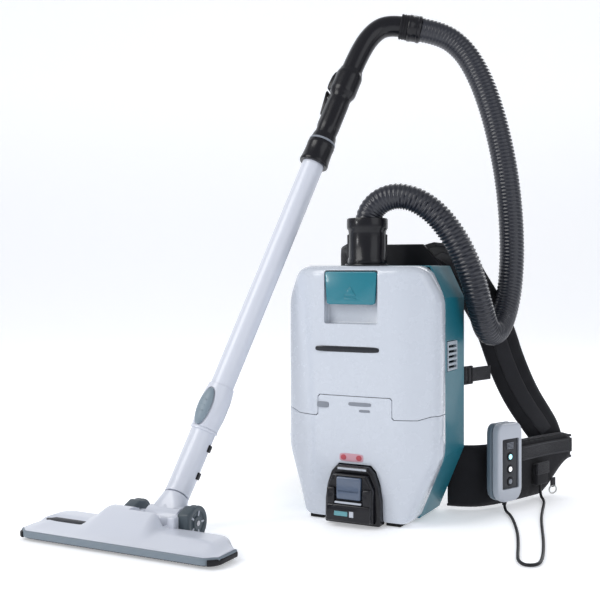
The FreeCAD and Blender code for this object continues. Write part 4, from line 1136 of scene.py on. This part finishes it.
def wheels():
    width, spokes = 14, 5
    near_half = [(4.2, 0.6), (9, 0.6), (10, 1.6), (10.5, 3), (17, 3), (18, 1.2), (20, 0.4), (23.4, 0.4),
                 (24.8, 1.8), (25, 4), (24.2, 5)]
    profile = near_half + [(radius, width - height) for radius, height in reversed(near_half)]
    for side, low in (("left", -56.5), ("right", 42.5)):
        place = frame_along((NECK_X + low, AXLE_Y, AXLE_Z), (1, 0, 0), Vector((0, 1, 0)))
        body = f"{side}_wheel"
        wheel = lathe(f"wheel_outer_{side}", profile, place, WHEEL)
        settle(wheel, body, "grey_plastic", f"wheel_{side}")
        for face in (1.9, 11.1):
            for angle in around_angles(spokes):
                spoke = block("wheel_spoke", (10, 18), (-1.4, 1.4), (face, face + 1.1), PALE_GREY, 0.4, 2,
                              place @ Matrix.Rotation(angle, 4, "Z"))
                settle(spoke, body, "grey_plastic")


# ---------------------------------------------------------------- harness
# Middle of the right shoulder strap and the heading of its width there, in degrees.
STRAP_STATIONS = [
    ((56, 101, 431), 0), ((78, 128, 424), 12), ((95, 151, 405), 22), ((111, 178, 364), 26),
    ((129, 207, 323), 26), ((142, 226, 279), 26), ((153, 240, 232), 28), ((173, 261, 173), 32),
    ((200, 288, 121), 40), ((208, 297, 105), 46), ((214, 302, 86), 56),
]
SIDES = ((1, "right"), (-1, "left"))


def flat_band(half_u, half_v, steps=20):
    """Section of a webbing strap, a flat oval with square-cut ends."""
    return oval_outline((0, 0), half_u, half_v, steps, 4)


def puffed(thing, voxel, cap, pressure=4.0):
    """Blow a padded piece up a little with a cloth simulation, no point moving further than the cap."""
    start = thing.copy()
    start.data = thing.data.copy()
    bpy.context.scene.collection.objects.link(start)
    remesh = start.modifiers.new("voxels", "REMESH")
    remesh.mode = "VOXEL"
    remesh.voxel_size = voxel * MM
    baked(start, 80)
    before = [v.co.copy() for v in start.data.vertices]
    cloth_sim = start.modifiers.new("cloth", "CLOTH")
    cloth_sim.settings.use_pressure = True
    cloth_sim.settings.uniform_pressure_force = pressure
    cloth_sim.settings.effector_weights.gravity = 0
    cloth_sim.point_cache.frame_end = 20
    for step in range(1, 21):
        bpy.context.scene.frame_set(step)
    graph = bpy.context.evaluated_depsgraph_get()
    swollen = bpy.data.meshes.new_from_object(start.evaluated_get(graph))
    for vertex, origin in zip(swollen.vertices, before):
        move = vertex.co - origin
        if move.length > cap * MM:
            vertex.co = origin + move.normalized() * cap * MM
    material = thing.data.materials[0]
    bpy.data.objects.remove(start)
    swollen.materials.clear()
    swollen.materials.append(material)
    thing.data = swollen
    bpy.context.scene.frame_set(1)
    finer = thing.modifiers.new("finer", "SUBSURF")
    finer.levels = 1
    return baked(thing, 80)


def strap_sides(line, sign):
    """Direction of the strap's width at each point, turned from station to station."""
    last = len(line) - 1
    sides = []
    for index in range(last + 1):
        at = index / last * (len(STRAP_STATIONS) - 1)
        low = min(int(at), len(STRAP_STATIONS) - 2)
        heading, heading_next = STRAP_STATIONS[low][1], STRAP_STATIONS[low + 1][1]
        swing = math.radians(heading + (heading_next - heading) * (at - low))
        sides.append(Vector((math.cos(swing) * sign, math.sin(swing), 0)))
    return sides


def quilted_section(distance):
    """Section of the padded strap: cross ribs along it and two sewn channels."""
    quilt = 0.8 + 0.2 * abs(math.sin(math.pi * distance / 46))
    section = []
    for u, v in oval_outline((0, 0), 1, 1, 44, 3.2):
        channel = 1 - 0.24 * math.exp(-((abs(u) - 0.52) / 0.05) ** 2)
        section.append((30.5 * u, 6.6 * v * quilt * channel))
    return section


def shoulder_straps():
    for sign, side_name in SIDES:
        centres = [tuple(mm(x * sign, y, z)) for (x, y, z), _ in STRAP_STATIONS]
        line = evenly(points_on(centres, 8), 0.004)
        sides = strap_sides(line, sign)
        pad = sweep(f"strap_pad_{side_name}", line, quilted_section, PADDING, sides, 70)
        settle(pad, "vacuum", "harness_fabric", f"shoulder_strap_{side_name}")
        frames = along_frames(line, sides)
        for edge in (-1, 1):
            bead_line = [point + u_axis * edge * 30.8 * MM for point, (_, u_axis, _) in zip(line, frames)]
            bead = sweep(f"strap_piping_{side_name}", bead_line, round_section(1.9, 10), PIPING)
            settle(bead, "vacuum", "webbing")
        for face in (-1, 1):
            web_line = [point + v_axis * face * 6.3 * MM for point, (_, _, v_axis) in zip(line, frames)]
            web = sweep(f"strap_web_{side_name}", web_line[6:-6], flat_band(12.5, 1.0), WEBBING, sides[6:-6])
            settle(web, "vacuum", "webbing")
        brace(sign, side_name)


def brace(sign, side_name):
    """Webbing band from the shell to the shoulder strap, with its buckle."""
    height = 215
    line = [mm(x * sign, y, height) for x, y in ((97, 95.5), (105, 125), (113, 155), (122, 188), (131, 219))]
    band = sweep(f"brace_band_{side_name}", line, flat_band(1.1, 12), WEBBING, [RIGHT] * len(line))
    settle(band, "vacuum", "webbing", *(["stabiliser_straps"] if sign > 0 else []))
    turn = (Matrix.Translation(mm(112 * sign, 152, height))
            @ Matrix.Rotation(math.radians(-15 * sign), 4, "Z"))
    buckle = block(f"brace_buckle_{side_name}", (-2.6, 2.6), (-13, 13), (-15.5, 15.5), SATIN_BLACK,
                   1.4, 3, turn)
    for slot in ((-9.5, -2), (2, 9.5)):
        boolean(buckle, block("tool", (-9, 9), slot, (-12, 12), SATIN_BLACK, 0, 1, turn))
    settle(buckle, "vacuum", "black_plastic")


WING_MIDDLE = [(94, 98), (123, 100), (154, 124.5), (184.5, 193), (213.5, 276.5), (245, 335.5)]
WING_LINE_Z = 54


def wing_low(along):
    """Lower edge of the belt wing: it rises towards the end."""
    return 4 + 54 * ease(along, 0.68, 1.0)


def wing_high(along):
    """Upper edge of the belt wing."""
    return 104.5 - 6 * ease(along, 0.9, 1.0)


def belt():
    for sign, side_name in SIDES:
        belt_wing(sign, side_name)
        band_line = belt_web(sign, side_name)
        belt_stitches(band_line, sign, side_name)
        belt_pouch(sign, side_name)
        belt_ring(sign, side_name)


def belt_wing(sign, side_name):
    """Padded hip wing with piping along both edges."""
    middles = [tuple(mm(x * sign, y, WING_LINE_Z)) for x, y in WING_MIDDLE]
    line = evenly(points_on(middles, 10), 0.005)
    total = len(line) - 1
    around = 40
    verts = []
    for index, (point, (_, u_axis, v_axis)) in enumerate(zip(line, along_frames(line, [UP] * len(line)))):
        along = index / total
        low, high = wing_low(along), wing_high(along)
        pinch = 1 - 0.55 * ease(along, 0.955, 1.0) - 0.3 * (1 - ease(along, 0, 0.04))
        middle = (low + high) / 2 - WING_LINE_Z
        for u, v in oval_outline((0, 0), 1, 1, around, 4.5):
            height = middle + u * (high - low) / 2
            verts.append(point + (u_axis * height + v_axis * v * 6.2 * pinch) * MM)
    wing = mesh_from(f"belt_wing_{side_name}", verts, tube_faces(total + 1, around), PADDING, 70)
    puffed(wing, 5, 1.6)
    settle(wing, "vacuum", "harness_fabric", f"waist_belt_{side_name}")
    for edge in ("top", "base"):
        bead_line = []
        for index, point in enumerate(line):
            along = index / total
            z = wing_high(along) - 1.6 if edge == "top" else wing_low(along) + 1.8
            bead_line.append(Vector((point.x, point.y, z * MM)))
        bead = sweep(f"belt_piping_{side_name}_{edge}", bead_line, round_section(2.2, 10), PIPING)
        settle(bead, "vacuum", "webbing")


def belt_web(sign, side_name):
    """Webbing sewn to the outer face of the wing; gives back its middle line."""
    outer = [(193, 189), (207.5, 231), (222, 273), (237, 301.5), (252, 330)]
    middles = [tuple(mm((x + 1.2) * sign, y - 0.4, 82.5)) for x, y in outer]
    line = evenly(points_on(middles, 8), 0.006)[:-2]
    band = sweep(f"belt_web_{side_name}", line, flat_band(12.4, 1.2, 24), WEBBING, [UP] * len(line))
    settle(band, "vacuum", "webbing", *(["belt_webbing"] if sign > 0 else []))
    return line


def belt_stitches(line, sign, side_name):
    """Two rows of thread along the webbing, one short block a stitch."""
    stitch = bmesh.new()
    for index in range(2, len(line) - 2):
        along = (line[index + 1] - line[index - 1]).normalized()
        outward = Vector((along.y, -along.x, 0)) * sign
        for height in (-10, 10):
            spot = line[index] + UP * (height * MM) + outward * 1.3 * MM
            corners = [spot + along * (a * 1.9 * MM) + UP * (b * 0.35 * MM) + outward * (c * 0.3 * MM)
                       for c in (-1, 1) for a, b in ((-1, -1), (1, -1), (1, 1), (-1, 1))]
            made = [stitch.verts.new(corner) for corner in corners]
            for quad in ((3, 2, 1, 0), (4, 5, 6, 7), (0, 1, 5, 4), (1, 2, 6, 5), (2, 3, 7, 6), (3, 0, 4, 7)):
                stitch.faces.new([made[corner] for corner in quad])
    mesh = bpy.data.meshes.new("belt_stitches")
    stitch.to_mesh(mesh)
    stitch.free()
    settle(link_mesh(f"belt_stitches_{side_name}", mesh, THREAD), "vacuum", "webbing")


def belt_pouch(sign, side_name):
    """Small pocket on the outer face of the wing, with its flap."""
    start, end = (203.2, 218.5), (214.9, 252.5)
    middle = ((start[0] + end[0]) / 2 * sign, (start[1] + end[1]) / 2)
    heading = math.atan2(end[1] - start[1], (end[0] - start[0]) * sign)
    place = Matrix.Translation(mm(*middle, 43.5)) @ Matrix.Rotation(heading, 4, "Z")
    pouch_y, flap_y = ((-11.5, -0.6), (-13.2, -9.8)) if sign > 0 else ((0.6, 11.5), (9.8, 13.2))
    pouch = block(f"belt_pouch_{side_name}", (-17.5, 17.5), pouch_y, (-18, 18), PADDING, 3.4, 4, place)
    settle(pouch, "vacuum", "harness_fabric", *(["belt_pockets"] if sign > 0 else []))
    flap = block(f"pouch_flap_{side_name}", (-18.4, 18.4), flap_y, (0, 20.5), WEBBING, 1.5, 3, place)
    settle(flap, "vacuum", "webbing")


def belt_ring(sign, side_name):
    """Oval plastic ring under the wing on a short webbing tab."""
    x, y, turn, steps = 226.5 * sign, 276, math.radians(62), 40
    place = Matrix.Translation(mm(x, y, 9.5)) @ Matrix.Rotation(turn * sign, 4, "Z")
    line = [place @ mm(9 * math.cos(angle), 0, 7 * math.sin(angle))
            for angle in around_angles(steps) + [2 * math.pi]]
    sides = [place.to_3x3() @ Vector((0, 1, 0))] * len(line)
    loop = sweep(f"belt_ring_{side_name}", line, round_section(1.4, 12), LOOP_WHITE, sides, capped=False)
    settle(loop, "vacuum", "light_grey_plastic")
    tab_line = [mm(x, y, z) for z in (14, 18, 22, 26, 30)]
    tab_side = Vector((math.cos(turn) * sign, math.sin(turn), 0))
    tab = sweep(f"belt_ring_tab_{side_name}", tab_line, flat_band(6, 1.3, 16), WEBBING,
                [tab_side] * len(tab_line))
    settle(tab, "vacuum", "webbing")


def back_pads():
    pads = (("upper", [(56, 239), (74, 300), (66, 401)], "back_pad", (246, 394)),
            ("lumbar", [(88, 12), (88, 98), (58, 124)], "lumbar_pad", (18, 104)))
    for name, right, node, _ in pads:
        pad = prism(f"pad_{name}", both_sides(right), "Y", 92, 103, MESH_CLOTH, 4.5, 4)
        puffed(pad, 5, 3.0)
        settle(pad, "vacuum", "harness_fabric", node)
    for x in (-30, 0, 30):
        for name, _, _, (low, high) in pads:
            welt_line = [mm(x, 106.6, low + (high - low) * k / 16) for k in range(17)]
            welt = sweep(f"pad_welt_{name}", welt_line, round_section(1.5, 10), PIPING)
            settle(welt, "vacuum", "webbing")


def dust_bag():
    bag = block("bag_fleece", (-90, 90), (-44, 60), (190, 352), BAG, 16, 5)
    puffed(bag, 8, 3.2, 3.0)
    settle(bag, "vacuum", "bag_fabric", "dust_bag")


# ---------------------------------------------------------------- hand control
def remote():
    outline = both_sides([(13, 18.6), (21, 22.5), (26.5, 29), (29, 38), (29, 130), (27, 139), (20.5, 145)])
    front = prism("remote_case", outline, "Y", -14, 1.7, PALE_GREY, 4.2, 5)
    boolean(front, block("tool", (-20.4, 20.4), (-20, -9), (39.6, 120.4), PALE_GREY, 2.6))
    front.data.transform(REMOTE_PLACE)
    settle(front, "vacuum", "light_grey_plastic", "remote_front")
    # The rear half is a darker blue-grey than the pale front half.
    rear = prism("remote_rear", [(x * 0.985, 19.0 + (z - 18.6) * 0.99) for x, z in outline], "Y", 2.2, 14,
                 REMOTE_REAR, 4.0, 4)
    clip_outline = [(13, 70), (22, 70), (22.2, 118), (17, 121), (13, 131)]
    boolean(rear, prism("tool", clip_outline, "X", -12, 12, REMOTE_REAR, 1.2), "UNION")
    rear.data.transform(REMOTE_PLACE)
    settle(rear, "vacuum", "light_grey_plastic", "remote_back")
    panel = block("remote_face", (-20, 20), (-11.8, -8.4), (40, 120), BADGE_DARK, 1.0)
    key_heights = (51, 71, 91)
    for z in key_heights:
        boolean(panel, prism("tool", oval_outline((0, z), 7.4, 7.4, 32), "Y", -16, -7, BADGE_DARK, 0))
    panel.data.transform(REMOTE_PLACE)
    settle(panel, "vacuum", "black_plastic", "remote_panel")
    key_profile = [(0, 10.3), (6.6, 10.3), (7, 10.7), (7, 12), (6.2, 13), (4.6, 13.2), (0, 12.9)]
    lens_profile = [(0, 12.4), (4, 12.4), (4, 13.3), (3, 13.9), (0, 14.2)]
    lenses = (BADGE_GREY, LAMP_WHITE, LAMP_BLUE)
    for number, (z, lens_material) in enumerate(zip(key_heights, lenses), 1):
        place = REMOTE_PLACE @ Matrix.Translation(mm(0, 0, z)) @ Matrix.Rotation(math.radians(90), 4, "X")
        key = lathe(f"remote_key_{number}", key_profile, place, SATIN_BLACK, 40)
        settle(key, f"button_{number}", "black_plastic", f"remote_button_{number}")
        lens = lathe(f"remote_lens_{number}", lens_profile, place, lens_material, 32)
        settle(lens, f"button_{number}", "light_grey_plastic")
    for k in range(5):
        z = (104 + 2.2 * k, 105.1 + 2.2 * k)
        ridge = block("remote_ridge", (-8, 8), (-13.2, -11.6), z, BADGE_GREY, 0.3, 2, REMOTE_PLACE)
        settle(ridge, "vacuum", "grey_plastic")


# ---------------------------------------------------------------- CAD pieces that are shown as they are
# Each node's material and the width of its softened edges, in millimetres.
KEPT = {
    "main_housing": (TEAL, 2.2), "vent_grilles": (VENT_GREY, 0.6), "base_feet": (RUBBER, 1.0),
    "bag_collar": (SATIN_BLACK, 0.6), "partition_shelf": (SATIN_BLACK, 0.6), "motor_filter": (FILTER, 0.8),
    "motor_can": (SATIN_BLACK, 0.8), "motor_core": (STEEL, 0.5), "motor_shaft": (STEEL, 0.3),
    "fan_impeller": (STEEL, 0.2), "control_board": (BOARD, 0.2), "back_frame": (SATIN_BLACK, 2.5),
    "latch_pin": (STEEL, 0.3), "lid_gasket": (RUBBER, 0.6), "frame_screws": (STEEL, 0.3),
    "nozzle_sole": (SATIN_BLACK, 0.8), "wheel_axle": (STEEL, 0.4), "elbow_tube": (WAND_WHITE, 0.8),
    "neck_barrel": (WAND_WHITE, 1.2),
}


def kept_nodes():
    for name, (material, width) in KEPT.items():
        node = nodes[name]
        if not node.data.materials:
            node.data.materials.append(material)
        for index in range(len(node.data.materials)):
            node.data.materials[index] = material
        weld = node.modifiers.new("weld", "WELD")
        weld.merge_threshold = 2e-5
        flat = node.modifiers.new("flat", "DECIMATE")
        flat.decimate_type = "DISSOLVE"
        flat.angle_limit = math.radians(1.0)
        bevel = node.modifiers.new("edges", "BEVEL")
        bevel.width = width * MM
        bevel.segments = 3
        bevel.limit_method = "ANGLE"
        bevel.angle_limit = math.radians(35)
        bevel.harden_normals = True


set_camera()
suction_hose()
remote_cable()
body_front()
latch()
bay_and_battery()
inlet()
wand()
handle()
grip_fittings()
nozzle_cover()
nozzle_fittings()
nozzle_trim()
bristle_rows()
neck_fairing()
wheels()
shoulder_straps()
belt()
back_pads()
dust_bag()
remote()
kept_nodes()
set_studio()
